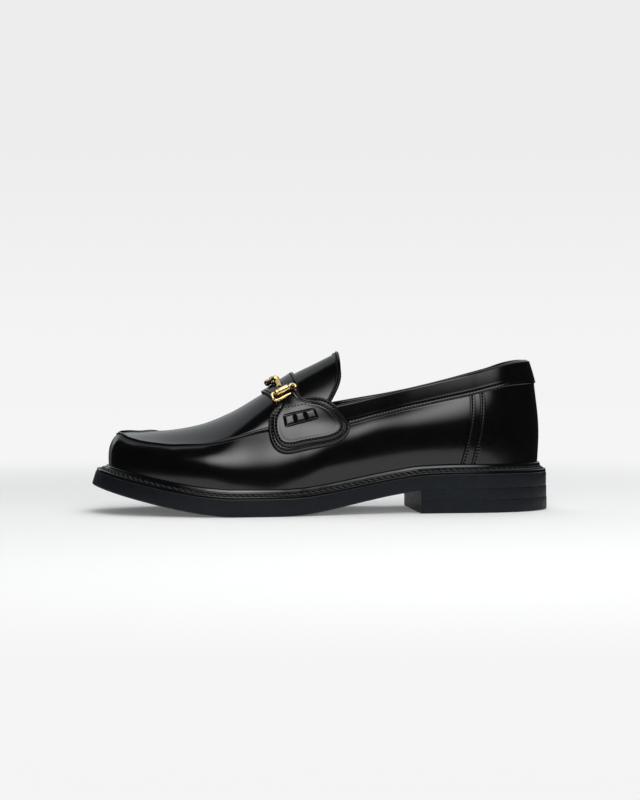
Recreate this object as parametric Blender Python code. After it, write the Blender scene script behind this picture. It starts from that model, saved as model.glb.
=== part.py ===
"""A left loafer as an assembly of separate solids: sole, heel, welt, insole, upper, saddle and bit.

Working units are millimetres, turned into metres when a mesh is made. The toe points to -X, the outer
side of the foot to -Y and up is +Z. Places along the shoe are given as "from_heel", the distance from
the back of the outsole.
"""
from collections import namedtuple
import math

import bpy
import numpy as np
from mathutils import Vector
from mathutils.bvhtree import BVHTree

MM = 0.001
GAP = 0.3
WALL = 1.6
HEEL_LENGTH = 90.0
LIFT_SPLIT = 8.7
EDGE_BEVEL = 1.5
WELT_LIP = 2.4
INSOLE_THICK = 4.0
INSOLE_CLEAR = 1.2
OUTER, INNER = -1, 1

RIDGE_HALF = 2.4
BAND_STEP = 0.7
BAND_FRONT = 140.0
PANEL_STEP = 0.4
STRIP_EDGE = 56.5
COUNTER_EDGE = 49.5
PANEL_LEAN = 9.0
TOE_SEAM = 0.7
TONGUE_STATION = 147.5

SUPPORT_REAR = 118.0
SUPPORT_FRONT = 214.0
SUPPORT_COLUMNS = 33
SUPPORT_ROWS = 14
STRAP_THICK = 1.4
BASE_THICK = 1.5
TAB_THICK = 1.3
LIFT = 0.45

OutlinePoint = namedtuple("OutlinePoint", "name from_heel across")
OUTLINE = [
    OutlinePoint("heel back", 0.0, -1.0),
    OutlinePoint("heel outer corner", 9.0, -22.0),
    OutlinePoint("heel outer", 35.0, -36.5),
    OutlinePoint("breast outer", 70.0, -38.5),
    OutlinePoint("waist outer", 105.0, -40.5),
    OutlinePoint("arch outer", 145.0, -47.0),
    OutlinePoint("joint outer", 180.0, -53.5),
    OutlinePoint("ball outer", 206.0, -55.5),
    OutlinePoint("vamp outer", 236.0, -51.5),
    OutlinePoint("small toe", 265.0, -41.0),
    OutlinePoint("toe outer", 288.0, -24.0),
    OutlinePoint("toe", 299.0, 4.0),
    OutlinePoint("big toe", 291.5, 28.0),
    OutlinePoint("toe inner", 270.0, 43.5),
    OutlinePoint("vamp inner", 243.0, 51.0),
    OutlinePoint("ball inner", 215.0, 52.0),
    OutlinePoint("joint inner", 190.0, 48.0),
    OutlinePoint("arch inner", 160.0, 39.5),
    OutlinePoint("waist inner", 125.0, 33.5),
    OutlinePoint("breast inner", 85.0, 33.5),
    OutlinePoint("heel inner", 40.0, 35.5),
    OutlinePoint("heel inner corner", 11.0, 23.0),
]
TOE_INDEX = 11

SoleSection = namedtuple("SoleSection", "name from_heel underside thick inset")
SOLE = [
    SoleSection("heel back", 0.0, 15.8, 8.6, 7.0),
    SoleSection("heel seat", 60.0, 15.8, 8.6, 6.8),
    SoleSection("breast", 88.0, 15.0, 8.6, 6.8),
    SoleSection("waist back", 105.0, 12.6, 8.7, 6.8),
    SoleSection("waist", 124.0, 9.0, 8.9, 6.8),
    SoleSection("arch", 140.0, 5.6, 9.3, 6.8),
    SoleSection("arch front", 155.0, 2.6, 9.8, 6.8),
    SoleSection("joint", 168.0, 0.7, 10.2, 6.8),
    SoleSection("tread start", 180.0, 0.0, 10.4, 6.8),
    SoleSection("tread end", 212.0, 0.0, 10.4, 6.8),
    SoleSection("spring start", 229.0, 1.5, 10.1, 6.8),
    SoleSection("spring", 248.0, 4.7, 9.8, 7.2),
    SoleSection("toe box", 268.0, 9.2, 9.5, 7.8),
    SoleSection("toe", 286.0, 14.0, 9.2, 8.3),
    SoleSection("tip", 300.0, 18.4, 9.0, 8.5),
]

WallSection = namedtuple("WallSection", "name from_heel seam_z seam_in_outer seam_in_inner turn bulge ridge")
WALLS = [
    WallSection("back", 5.0, 82.6, 2.0, 2.0, 2.2, 1.4, 0.0),
    WallSection("counter", 26.0, 81.3, 2.0, 2.0, 2.2, 1.6, 0.0),
    WallSection("strip", 52.0, 76.2, 2.6, 2.4, 2.2, 1.8, 0.0),
    WallSection("quarter", 91.0, 67.6, 4.2, 2.2, 2.2, 1.8, 0.0),
    WallSection("throat", 138.0, 56.6, 6.6, 2.8, 2.2, 1.8, 0.0),
    WallSection("saddle", 165.0, 54.6, 9.0, 6.0, 2.3, 1.8, 0.0),
    WallSection("saddle front", 188.0, 54.0, 11.0, 9.5, 2.4, 1.8, 0.0),
    WallSection("vamp", 213.0, 48.4, 12.5, 12.0, 2.5, 1.8, 1.0),
    WallSection("ball", 238.0, 44.9, 13.0, 13.0, 2.7, 1.8, 1.2),
    WallSection("toe side", 255.0, 45.2, 12.5, 12.5, 3.0, 1.5, 1.4),
    WallSection("toe corner", 270.0, 47.4, 11.0, 11.0, 3.6, 1.2, 1.6),
    WallSection("toe round", 282.0, 48.8, 9.4, 9.4, 4.2, 0.8, 1.6),
    WallSection("tip", 296.0, 49.8, 8.8, 8.8, 4.6, 0.6, 1.7),
]

CollarSection = namedtuple("CollarSection", "name from_heel top_z top_in")
COLLAR = [
    CollarSection("back", 5.0, 96.8, 4.0),
    CollarSection("back corner", 20.0, 95.1, 3.6),
    CollarSection("ankle back", 38.0, 90.3, 3.0),
    CollarSection("ankle", 77.0, 81.4, 2.6),
    CollarSection("ankle front", 116.0, 72.8, 2.4),
    CollarSection("throat", 136.0, 68.2, 2.2),
    CollarSection("tongue", 147.5, 66.4, 2.0),
]

CrestSection = namedtuple("CrestSection", "name from_heel crest_z crown")
CREST = [
    CrestSection("tongue top", 139.5, 103.4, 1.3),
    CrestSection("tongue", 155.0, 95.6, 1.3),
    CrestSection("strap rear", 168.4, 89.0, 1.35),
    CrestSection("strap front", 188.7, 76.1, 1.45),
    CrestSection("vamp", 209.6, 63.9, 1.7),
    CrestSection("ball", 229.0, 56.2, 2.0),
    CrestSection("toe box", 251.0, 52.0, 2.0),
    CrestSection("toe", 268.0, 50.4, 2.0),
    CrestSection("tip", 286.0, 50.0, 2.0),
]
TONGUE_LEAN = 11.4
LEAN_END = 200.0
LEAN_LOW = 0.2
LEAN_HIGH = 0.62

TabPoint = namedtuple("TabPoint", "name from_heel height")
BASE_TAB = [
    TabPoint("top front", 181.5, 67.6),
    TabPoint("shoulder front", 185.2, 64.0),
    TabPoint("front upper", 187.6, 59.5),
    TabPoint("front", 188.1, 54.0),
    TabPoint("front lower", 187.4, 47.8),
    TabPoint("corner front", 185.4, 43.2),
    TabPoint("corner", 181.6, 40.0),
    TabPoint("foot", 176.4, 39.0),
    TabPoint("hem front", 168.3, 40.3),
    TabPoint("hem", 155.5, 42.8),
    TabPoint("hem rear", 145.9, 45.3),
    TabPoint("corner rear", 140.5, 48.8),
    TabPoint("rear", 138.2, 53.9),
    TabPoint("rear upper", 138.9, 57.3),
    TabPoint("slope", 142.7, 63.5),
    TabPoint("slope top", 147.8, 69.5),
    TabPoint("shoulder rear", 153.2, 74.0),
    TabPoint("top rear", 159.0, 75.2),
    TabPoint("top", 165.5, 74.6),
    TabPoint("neck foot", 173.5, 72.4),
]
UPPER_TAB = [
    TabPoint("neck front", 178.9, 73.4),
    TabPoint("neck root front", 178.6, 70.0),
    TabPoint("shoulder front", 181.4, 66.4),
    TabPoint("front upper", 184.6, 62.0),
    TabPoint("front", 185.5, 56.4),
    TabPoint("front lower", 184.6, 49.6),
    TabPoint("corner", 180.6, 44.2),
    TabPoint("foot", 176.0, 43.0),
    TabPoint("hem front", 167.0, 44.4),
    TabPoint("hem", 155.5, 46.4),
    TabPoint("hem rear", 146.6, 48.8),
    TabPoint("corner rear", 142.4, 52.0),
    TabPoint("rear", 141.2, 56.4),
    TabPoint("slope", 145.2, 63.0),
    TabPoint("slope top", 150.4, 69.2),
    TabPoint("shoulder rear", 155.6, 72.4),
    TabPoint("top", 161.5, 72.9),
    TabPoint("neck root rear", 166.6, 73.6),
    TabPoint("neck rear", 169.6, 76.0),
    TabPoint("neck top", 174.0, 75.2),
]
BASE_CENTRE = (163.0, 57.0)
TAB_CENTRE = (165.0, 59.0)
TAB_RINGS = (0.0, 0.45, 0.8, 0.95, 1.0)
TAB_SPOKES = 40

STRAP_TOP_REAR = 168.2
STRAP_TOP_FRONT = 188.6
STRAP_END_REAR = TabPoint("strap end rear", 166.2, 75.8)
STRAP_END_FRONT = TabPoint("strap end front", 182.4, 68.8)
STRAP_AXIS_DROP = 24.0

RING_MIDDLE = (175.4, 78.0)
RING_SLOPE = 27.0
RING_LENGTH = 15.0
RING_DEPTH = 4.6
RING_WIRE = 1.0
BARREL = 1.8
KNUCKLE = 2.4
LINK_WIRE = 1.2
KNUCKLE_ANGLE = 13.0


def monotone(places, values):
    """Smooth curve through table values that never overshoots them."""
    x = np.asarray(places, float)
    y = np.asarray(values, float)
    step = np.diff(x)
    slope = np.diff(y) / step
    tangent = np.zeros(len(x))
    tangent[0] = slope[0]
    tangent[-1] = slope[-1]
    for i in range(1, len(x) - 1):
        if slope[i - 1] * slope[i] > 0.0:
            before = 2.0 * step[i] + step[i - 1]
            after = step[i] + 2.0 * step[i - 1]
            tangent[i] = (before + after) / (before / slope[i - 1] + after / slope[i])

    def at(place):
        place = min(max(place, x[0]), x[-1])
        i = min(int(np.searchsorted(x, place, side="right")) - 1, len(x) - 2)
        t = (place - x[i]) / step[i]
        return ((1 + 2 * t) * (1 - t) ** 2 * y[i] + t * (1 - t) ** 2 * step[i] * tangent[i]
                + t * t * (3 - 2 * t) * y[i + 1] + t * t * (t - 1) * step[i] * tangent[i + 1])

    return at


def column(table, name):
    """Curve of one named column of a table along the shoe."""
    return monotone([row.from_heel for row in table], [getattr(row, name) for row in table])


underside = column(SOLE, "underside")
sole_thick = column(SOLE, "thick")
sole_inset = column(SOLE, "inset")
seam_z = column(WALLS, "seam_z")
seam_in = {OUTER: column(WALLS, "seam_in_outer"), INNER: column(WALLS, "seam_in_inner")}
wall_turn = column(WALLS, "turn")
wall_bulge = column(WALLS, "bulge")
ridge_height = column(WALLS, "ridge")
top_z = column(COLLAR, "top_z")
top_in = column(COLLAR, "top_in")
crest_z = column(CREST, "crest_z")
crest_crown = column(CREST, "crown")


def smooth(low, high, value):
    """Soft step from 0 at low to 1 at high."""
    t = min(max((value - low) / (high - low), 0.0), 1.0)
    return t * t * (3.0 - 2.0 * t)


def closed_spline(points, samples):
    """Dense closed cubic spline through the points, each span cut into the same number of samples."""
    knots = np.asarray(points, float)
    count = len(knots)
    spans = np.linalg.norm(np.roll(knots, -1, axis=0) - knots, axis=1)
    system = np.zeros((count, count))
    right = np.zeros((count, knots.shape[1]))
    for i in range(count):
        before, after = spans[i - 1], spans[i]
        system[i, i - 1] = after
        system[i, i] = 2.0 * (before + after)
        system[i, (i + 1) % count] = before
        right[i] = 3.0 * (after / before * (knots[i] - knots[i - 1])
                          + before / after * (knots[(i + 1) % count] - knots[i]))
    tangent = np.linalg.solve(system, right)
    out = []
    for i in range(count):
        j = (i + 1) % count
        for k in range(samples):
            t = k / samples
            out.append((1 + 2 * t) * (1 - t) ** 2 * knots[i] + t * (1 - t) ** 2 * spans[i] * tangent[i]
                       + t * t * (3 - 2 * t) * knots[j] + t * t * (t - 1) * spans[i] * tangent[j])
    return np.array(out)


SPAN_SAMPLES = 24
RIM = closed_spline([(p.from_heel, p.across) for p in OUTLINE], SPAN_SAMPLES)
ACROSS_MID = 0.5 * (RIM[:, 1].min() + RIM[:, 1].max())
HEEL_END = RIM[:, 0].min()
TOE_END = RIM[:, 0].max()
ALONG_MID = 0.5 * (HEEL_END + TOE_END)


class Half:
    """One side of the sole's outline, from the heel back to the toe, by its share of length."""

    def __init__(self, points):
        self.points = points
        length = np.concatenate([[0.0], np.cumsum(np.linalg.norm(np.diff(points, axis=0), axis=1))])
        self.share = length / length[-1]
        self.length = length[-1]

    def place(self, share):
        return np.array([np.interp(share, self.share, self.points[:, k]) for k in (0, 1)])

    def inward(self, share):
        step = 0.004
        ahead = self.place(min(share + step, 1.0)) - self.place(max(share - step, 0.0))
        normal = np.array([-ahead[1], ahead[0]]) / np.linalg.norm(ahead)
        return normal

    def share_at(self, from_heel):
        return float(np.interp(from_heel, self.points[:, 0], self.share))


SPLIT = TOE_INDEX * SPAN_SAMPLES
HALVES = {
    OUTER: Half(RIM[:SPLIT + 1]),
    INNER: Half(np.vstack([RIM[SPLIT:], RIM[:1]])[::-1]),
}


def inward_of(side, share):
    """Unit plan vector from the outline into the shoe; the ends point straight along the mean of both sides."""
    if share in (0.0, 1.0):
        both = HALVES[OUTER].inward(share) - HALVES[INNER].inward(share)
        return both / np.linalg.norm(both)
    normal = HALVES[side].inward(share)
    return normal if side == OUTER else -normal


def bend(from_heel, across, rise):
    """Point standing a given rise above the outsole's underside, square to its bent plate."""
    step = 1.0
    slope = (underside(from_heel + step) - underside(from_heel - step)) / (2.0 * step)
    scale = 1.0 / math.hypot(1.0, slope)
    return np.array([from_heel - rise * slope * scale, across, underside(from_heel) + rise * scale])


def rim_point(side, share, inset, rise):
    """Point on the outline moved in by the inset and up by the rise above the outsole's underside."""
    spot = HALVES[side].place(share) + inset * inward_of(side, share)
    return bend(spot[0], spot[1], rise)


def wall_point(side, share, t):
    """Outer wall of the upper, t from 0 at the feather line to 1 at the seam line."""
    station = HALVES[side].place(share)[0]
    foot = rim_point(side, share, sole_inset(station), sole_thick(station) + GAP)
    bulge = wall_bulge(station) * math.sin(math.pi * t) ** 1.6
    inset = seam_in[side](station) * t ** wall_turn(station) - bulge
    flat = foot[:2] + inset * inward_of(side, share)
    return np.array([flat[0], flat[1], foot[2] + (seam_z(station) - foot[2]) * t])


def band_point(side, share, v):
    """Collar band, v from 0 at the seam line to 1 at the topline."""
    station = HALVES[side].place(share)[0]
    seam = wall_point(side, share, 1.0)
    flat = seam[:2] + top_in(station) * v ** 1.2 * inward_of(side, share)
    return np.array([flat[0], flat[1], seam[2] + (top_z(station) - seam[2]) * v])


def arc_point(side, share, angle):
    """Apron and tongue, angle from 0 at the seam line to 90 degrees at the crest."""
    near = wall_point(side, share, 1.0)
    far = wall_point(-side, share, 1.0)
    middle = 0.5 * (near + far)
    lean = TONGUE_LEAN * (1.0 - smooth(TONGUE_STATION, LEAN_END, middle[0]))
    beta = math.radians(angle)
    width = math.cos(beta)
    crown = math.sin(beta) ** crest_crown(middle[0] - lean)
    rise = crest_z(middle[0] - lean) - middle[2]
    flat = middle + (near - middle) * width
    slide = lean * smooth(LEAN_LOW, LEAN_HIGH, crown)
    return np.array([flat[0] - slide, flat[1], flat[2] + rise * crown])


def resample(points, distances):
    """Points at given distances along a dense line."""
    line = np.asarray(points)
    length = np.concatenate([[0.0], np.cumsum(np.linalg.norm(np.diff(line, axis=0), axis=1))])
    return [np.array([np.interp(d, length, line[:, k]) for k in range(3)]) for d in distances], length[-1]


WALL_ROWS = (0.0, 0.12, 0.26, 0.42, 0.58, 0.74, 0.88, 1.0)
BAND_ROWS = (0.5, 1.0)
ARC_ROWS = (0.16, 0.34, 0.54, 0.76, 1.0)
DENSE = 36
SEAM_ROW = len(WALL_ROWS) + 1
BAND_END = SEAM_ROW + 2 + len(BAND_ROWS)
LAST_ROW = BAND_END + len(ARC_ROWS)
INNER_ROWS = [0, 2, 4, 6, SEAM_ROW, BAND_END]
ARC_INDEX = list(range(BAND_END, LAST_ROW + 1))


def leaning(share, side, t):
    """Share along the outline at height t, so columns near the heel panels follow their slanted edges."""
    half = HALVES[side]
    station = half.place(share)[0]
    weight = smooth(12.0, 42.0, station) * (1.0 - smooth(64.0, 112.0, station))
    return share + PANEL_LEAN * weight * (1.0 - t) ** 1.8 / half.length


def band_angle(station):
    """Share of the arch, in degrees from the seam, that the collar band's rows take up."""
    return 20.0 + 30.0 * smooth(TONGUE_STATION, 190.0, station)


def column_points(side, share, arched):
    """One column of the upper's smooth outside, from the feather line up to the topline or the crest."""
    wall = [wall_point(side, leaning(share, side, t), t) for t in np.linspace(0.0, 1.0, DENSE)]
    wall_length = resample(wall, [0.0])[1]
    rows = resample(wall, [(wall_length - RIDGE_HALF) * f for f in WALL_ROWS])[0]
    rows += resample(wall, [wall_length - 0.5 * RIDGE_HALF, wall_length])[0]
    if share == 1.0:
        return rows
    if arched:
        split = band_angle(HALVES[side].place(share)[0])
        band = [arc_point(side, share, a) for a in np.linspace(0.0, split, DENSE)]
        arc = [arc_point(side, share, a) for a in np.linspace(split, 90.0, DENSE)]
    else:
        band = [band_point(side, share, v) for v in np.linspace(0.0, 1.0, DENSE)]
    band_length = resample(band, [0.0])[1]
    above = min(RIDGE_HALF, 0.4 * band_length)
    rows += resample(band, [0.45 * above, above])[0]
    rows += resample(band, [above + (band_length - above) * f for f in BAND_ROWS])[0]
    if arched:
        arc_length = resample(arc, [0.0])[1]
        rows += resample(arc, [arc_length * f for f in ARC_ROWS])[0]
    return rows


def side_shares():
    """Column places along one side: named edges are met by close pairs of columns."""
    pair = 0.45
    stations = [28.0, 39.0, COUNTER_EDGE - pair, COUNTER_EDGE + pair, STRIP_EDGE - pair, STRIP_EDGE + pair,
                68.0, 82.0, 96.0, 110.0, 123.0, 133.0, BAND_FRONT, TONGUE_STATION, 154.0, 162.0, 171.0,
                180.0, 189.0, 198.0, 207.0, 216.0, 225.0, 234.0, 243.0, 252.0, 260.0, 267.0]
    shares = [0.021, 0.043, 0.066, 0.09] + [HALVES[OUTER].share_at(s) for s in stations]
    toe = [1.0 - d / HALVES[OUTER].length for d in (34.0, 26.0, 18.0, 11.0, 6.0, 2.8, 1.3)]
    return shares + toe


SEAM_LINE = np.array([wall_point(side, share, 1.0)[:2] for side in (OUTER, INNER)
                      for share in np.linspace(0.55, 1.0, 90)])


def panel_lift(station):
    """Height of the heel strip and counter over the quarter."""
    return PANEL_STEP * ((station < STRIP_EDGE) + (station < COUNTER_EDGE))


def outside_detail(side, share, row, spot, arched):
    """How far the upper's outside stands off its smooth form: seam ridge, band, heel panels, toe seam."""
    station = HALVES[side].place(share)[0]
    lift = 0.0
    if row <= SEAM_ROW:
        toe_gap = (1.0 - share) * HALVES[side].length
        lift += panel_lift(station) + TOE_SEAM * max(0.0, 1.0 - toe_gap / 2.6) * smooth(2, 4, row)
    elif not arched:
        lift += BAND_STEP * (1.0 - smooth(BAND_FRONT - 8.0, BAND_FRONT, station)) + panel_lift(station)
    if row >= SEAM_ROW - 2:
        away = np.linalg.norm(SEAM_LINE - spot[:2], axis=1).min()
        if row < SEAM_ROW:
            away = RIDGE_HALF * 0.5 * (SEAM_ROW - row)
        if away < RIDGE_HALF:
            lift += ridge_height(station) * math.cos(0.5 * math.pi * away / RIDGE_HALF) ** 2
    return lift


def point_normals(points, faces):
    """Mean face direction at each point of a face list."""
    normals = np.zeros_like(points)
    for face in faces:
        corners = points[list(face)]
        centre = corners.mean(axis=0)
        area = np.zeros(3)
        for k in range(len(face)):
            area += np.cross(corners[k] - centre, corners[(k + 1) % len(face)] - centre)
        normals[list(face)] += area
    return normals / np.linalg.norm(normals, axis=1)[:, None]


def to_world(points):
    """Shoe millimetres to metres: the toe at -X, the box centred on the origin."""
    place = np.asarray(points, float)
    return np.column_stack([ALONG_MID - place[:, 0], place[:, 1] - ACROSS_MID, place[:, 2]]) * MM


def make_object(name, points, faces, material):
    """Mesh object from points in shoe millimetres, faces turned outward."""
    world = to_world(points)
    mesh = bpy.data.meshes.new(name)
    mesh.from_pydata([tuple(p) for p in world], [], [tuple(f) for f in faces])
    mesh.update()
    signed = 0.0
    for polygon in mesh.polygons:
        corner = [Vector(world[i]) for i in polygon.vertices]
        for k in range(1, len(corner) - 1):
            signed += corner[0].dot(corner[k].cross(corner[k + 1]))
    if signed < 0.0:
        mesh.flip_normals()
    mesh.materials.append(material)
    body = bpy.data.objects.new(name, mesh)
    bpy.context.scene.collection.objects.link(body)
    return body


def make_material(name, colour, metallic, roughness):
    """Plain surface of one piece."""
    surface = bpy.data.materials.new(name)
    surface.use_nodes = True
    shader = surface.node_tree.nodes["Principled BSDF"]
    shader.inputs["Base Color"].default_value = (*colour, 1.0)
    shader.inputs["Metallic"].default_value = metallic
    shader.inputs["Roughness"].default_value = roughness
    return surface


def tidy_face(face):
    """Face with repeated points taken out, or None when fewer than three are left."""
    kept = tuple(dict.fromkeys(face))
    return kept if len(kept) > 2 else None


class Upper:
    """Shell of the upper: a ring of columns, the front ones joined over the crest."""

    def __init__(self):
        shares = side_shares()
        self.columns = [(OUTER, 0.0)] + [(OUTER, s) for s in shares] + [(OUTER, 1.0)]
        self.columns += [(INNER, s) for s in reversed(shares)]
        self.count = len(self.columns)
        self.tip = len(shares) + 1
        limit = HALVES[OUTER].share_at(TONGUE_STATION) - 1e-6
        self.arched = [share >= limit for _, share in self.columns]
        self.index = {}
        points, details = [], []
        for c, (side, share) in enumerate(self.columns):
            rows = column_points(side, share, self.arched[c])
            for r, spot in enumerate(rows):
                if r == LAST_ROW and side == INNER:
                    self.index[c, r] = self.index[self.count - c, r]
                    continue
                self.index[c, r] = len(points)
                points.append(spot)
                details.append(outside_detail(side, share, r, spot, self.arched[c]))
        for r in range(SEAM_ROW + 1, LAST_ROW + 1):
            self.index[self.tip, r] = self.index[self.tip, SEAM_ROW]
        self.base = np.array(points)
        full = self.faces(list(range(BAND_END + 1)), ARC_INDEX)
        self.normals = point_normals(self.base, full)
        across = self.base[:, 1] - self.base[:, 1].mean()
        if np.sum(self.normals[:, 1] * across) < 0.0:
            self.normals = -self.normals
        self.outside = self.base + self.normals * np.array(details)[:, None]
        self.inside = self.base - self.normals * WALL
        for c, (side, share) in enumerate(self.columns):
            place = leaning(share, side, 0.0)
            station = HALVES[side].place(place)[0]
            self.inside[self.index[c, 0]] = rim_point(side, place, sole_inset(station) + WALL,
                                                      sole_thick(station) + GAP)

    def faces(self, ring_rows, arc_rows):
        """Outside faces over the given rows of the ring and of the arch."""
        out = []
        for c in range(self.count):
            n = (c + 1) % self.count
            rows = list(zip(ring_rows, ring_rows[1:]))
            if self.arched[c] and self.arched[n]:
                rows += list(zip(arc_rows, arc_rows[1:]))
            for low, high in rows:
                corners = [(c, low), (n, low), (n, high), (c, high)]
                out.append(tidy_face([self.index[k] for k in corners]))
        return [face for face in out if face]

    def build(self, material):
        """Closed shell with its rims at the feather line, the topline and the tongue's edge."""
        shift = len(self.outside)
        faces = self.faces(list(range(BAND_END + 1)), ARC_INDEX)
        inner = self.faces(INNER_ROWS, ARC_INDEX)
        faces += [tuple(i + shift for i in reversed(face)) for face in inner]
        for c in range(self.count):
            n = (c + 1) % self.count
            near, far = self.index[c, 0], self.index[n, 0]
            faces.append((far, near, near + shift, far + shift))
            if not (self.arched[c] and self.arched[n]):
                near, far = self.index[c, BAND_END], self.index[n, BAND_END]
                faces.append((near, far, far + shift, near + shift))
        first = self.arched.index(True)
        last = self.count - first
        for low, high in zip(ARC_INDEX, ARC_INDEX[1:]):
            near, far = self.index[first, low], self.index[first, high]
            faces.append((near, far, far + shift, near + shift))
            near, far = self.index[last, low], self.index[last, high]
            faces.append((far, near, near + shift, far + shift))
        points = np.vstack([self.outside, self.inside])
        used = sorted({i for face in faces for i in face})
        renumber = {old: new for new, old in enumerate(used)}
        faces = [tuple(renumber[i] for i in face) for face in faces]
        return make_object("upper", points[used], faces, material)


def support_tree():
    """Search tree of the instep's smooth outside, carried on past the tongue's edge, for laying overlays on."""
    stations = np.linspace(SUPPORT_REAR, SUPPORT_FRONT, SUPPORT_COLUMNS)
    points, faces = [], []
    rows = 2 * SUPPORT_ROWS
    for side in (OUTER, INNER):
        first = len(points)
        for station in stations:
            share = HALVES[OUTER].share_at(station)
            points += [wall_point(side, share, t) for t in np.linspace(0.2, 1.0, SUPPORT_ROWS, endpoint=False)]
            points += [arc_point(side, share, angle) for angle in np.linspace(0.0, 90.0, SUPPORT_ROWS)]
        for c in range(SUPPORT_COLUMNS - 1):
            for r in range(rows - 1):
                corner = first + c * rows + r
                faces.append((corner, corner + rows, corner + rows + 1, corner + 1))
    return BVHTree.FromPolygons([Vector(p) for p in points], faces)


ACROSS_STEPS = (0.0, 0.2, 0.5, 0.8, 1.0)


def slab(name, shares, levels, material):
    """Plate between the outer and inner outline over levels (inset, lay), closed at heel and toe or breast."""
    pairs = len(shares)
    open_end = shares[-1] < 1.0
    last = len(ACROSS_STEPS) - 1

    def spot(level, j, k):
        inset, lay = levels[level]
        ends = []
        for side in (OUTER, INNER):
            place = HALVES[side].place(shares[j])
            ends.append(place + inset(place[0]) * inward_of(side, shares[j]))
        mixed = ends[0] + (ends[1] - ends[0]) * ACROSS_STEPS[k]
        return lay(mixed[0], mixed[1])

    edge = [(j, 0) for j in range(pairs)]
    if open_end:
        edge += [(pairs - 1, k) for k in range(1, last)] + [(pairs - 1, last)]
    edge += [(j, last) for j in range(pairs - 1 - open_end, 0, -1)]
    if not open_end:
        edge = [e for e in edge if e != (pairs - 1, last)]
    points, faces = [], []
    index = {}

    def vertex(level, j, k):
        if j == 0 or (j == pairs - 1 and not open_end):
            k = 0
        key = (level, j, k)
        if key not in index:
            index[key] = len(points)
            points.append(spot(*key))
        return index[key]

    top = len(levels) - 1
    for j in range(pairs - 1):
        for k in range(last):
            corners = [(j, k), (j + 1, k), (j + 1, k + 1), (j, k + 1)]
            faces.append(tidy_face([vertex(top, *c) for c in corners]))
            faces.append(tidy_face([vertex(0, *c) for c in reversed(corners)]))
    for level in range(top):
        for here, there in zip(edge, edge[1:] + edge[:1]):
            faces.append((vertex(level, *here), vertex(level, *there),
                          vertex(level + 1, *there), vertex(level + 1, *here)))
    return make_object(name, points, [f for f in faces if f], material)


def bent(rise):
    """Layer that follows the outsole's bend at a rise above its underside."""
    return lambda a, y: bend(a, y, rise(a))


def level_at(height):
    """Layer at a height over the floor."""
    return lambda a, y: np.array([a, y, height(a)])


def sole_shares():
    """Column places of the plates."""
    stations = [28.0, 39.0, 52.0, 68.0, 86.0, 98.0, 110.0, 122.0, 134.0, 146.0, 157.0, 168.0, 180.0, 196.0, 212.0,
                222.0, 232.0, 242.0, 252.0, 262.0, 271.0]
    toe = [1.0 - d / HALVES[OUTER].length for d in (30.0, 21.0, 13.0, 6.0)]
    return [0.0, 0.021, 0.043, 0.066, 0.09] + [HALVES[OUTER].share_at(s) for s in stations] + toe + [1.0]


def heel_shares():
    """Column places of the heel, up to its front face."""
    stations = [28.0, 39.0, 52.0, 68.0, 80.0, HEEL_LENGTH]
    return [0.0, 0.021, 0.043, 0.066, 0.09] + [HALVES[OUTER].share_at(s) for s in stations]


def build_sole(rubber):
    """Outsole and the two layers of the heel."""
    def flush(a):
        return 0.0

    def bevel(a):
        return EDGE_BEVEL

    slab("outsole", sole_shares(), [(bevel, bent(flush)), (flush, bent(bevel)), (flush, bent(sole_thick))], rubber)
    slab("heel_lift", heel_shares(), [
        (flush, level_at(lambda a: LIFT_SPLIT)),
        (flush, level_at(lambda a: underside(a) - GAP))], rubber)
    slab("heel_top_piece", heel_shares(), [
        (bevel, level_at(flush)), (flush, level_at(bevel)),
        (flush, level_at(lambda a: LIFT_SPLIT - GAP))], rubber)


def build_insole(leather):
    """Footbed inside the upper's ring."""
    def inset(a):
        return sole_inset(a) + WALL + INSOLE_CLEAR

    slab("insole", sole_shares(), [
        (inset, bent(lambda a: sole_thick(a) + GAP)),
        (inset, bent(lambda a: sole_thick(a) + GAP + INSOLE_THICK))], leather)


WeltPoint = namedtuple("WeltPoint", "name inset rise")
WELT = [
    WeltPoint("edge foot", 0.3, GAP),
    WeltPoint("edge", 0.3, WELT_LIP - 0.5),
    WeltPoint("edge round", 0.9, WELT_LIP),
    WeltPoint("lip inner", 2.8, WELT_LIP + 0.3),
    WeltPoint("slope", 3.9, WELT_LIP + 1.7),
    WeltPoint("bead", 4.5, WELT_LIP + 3.2),
]
BEAD_RISES = (6.3, 3.2, GAP)


def build_welt(columns, leather):
    """Ring with a flat lip and a bead that rises against the upper."""
    points, faces = [], []
    for side, share in columns:
        station = HALVES[side].place(share)[0]
        thick = sole_thick(station)
        for point in WELT:
            points.append(rim_point(side, share, point.inset, thick + point.rise))
        foot = rim_point(side, share, sole_inset(station), thick + GAP)
        heel_panels = 2.0 * PANEL_STEP * (1.0 - smooth(66.0, 104.0, station))
        for rise in BEAD_RISES:
            t = max(0.0, (rise - GAP) / (seam_z(station) - foot[2]))
            wall = wall_point(side, share, t)
            wall[:2] -= (1.4 * GAP + heel_panels) * inward_of(side, share)
            points.append(wall)
    size = len(WELT) + len(BEAD_RISES)
    count = len(columns)
    for c in range(count):
        n = (c + 1) % count
        for p in range(size):
            q = (p + 1) % size
            faces.append((c * size + p, c * size + q, n * size + q, n * size + p))
    return make_object("welt", points, faces, leather)


def side_hit(tree, side, from_heel, height):
    """Where a level line from one side meets the upper, and the surface direction there."""
    start = Vector((from_heel, side * 150.0, height))
    spot, normal, _, _ = tree.ray_cast(start, Vector((0.0, -side, 0.0)))
    if normal.y * side < 0.0:
        normal = -normal
    return np.array(spot), np.array(normal)


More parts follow.
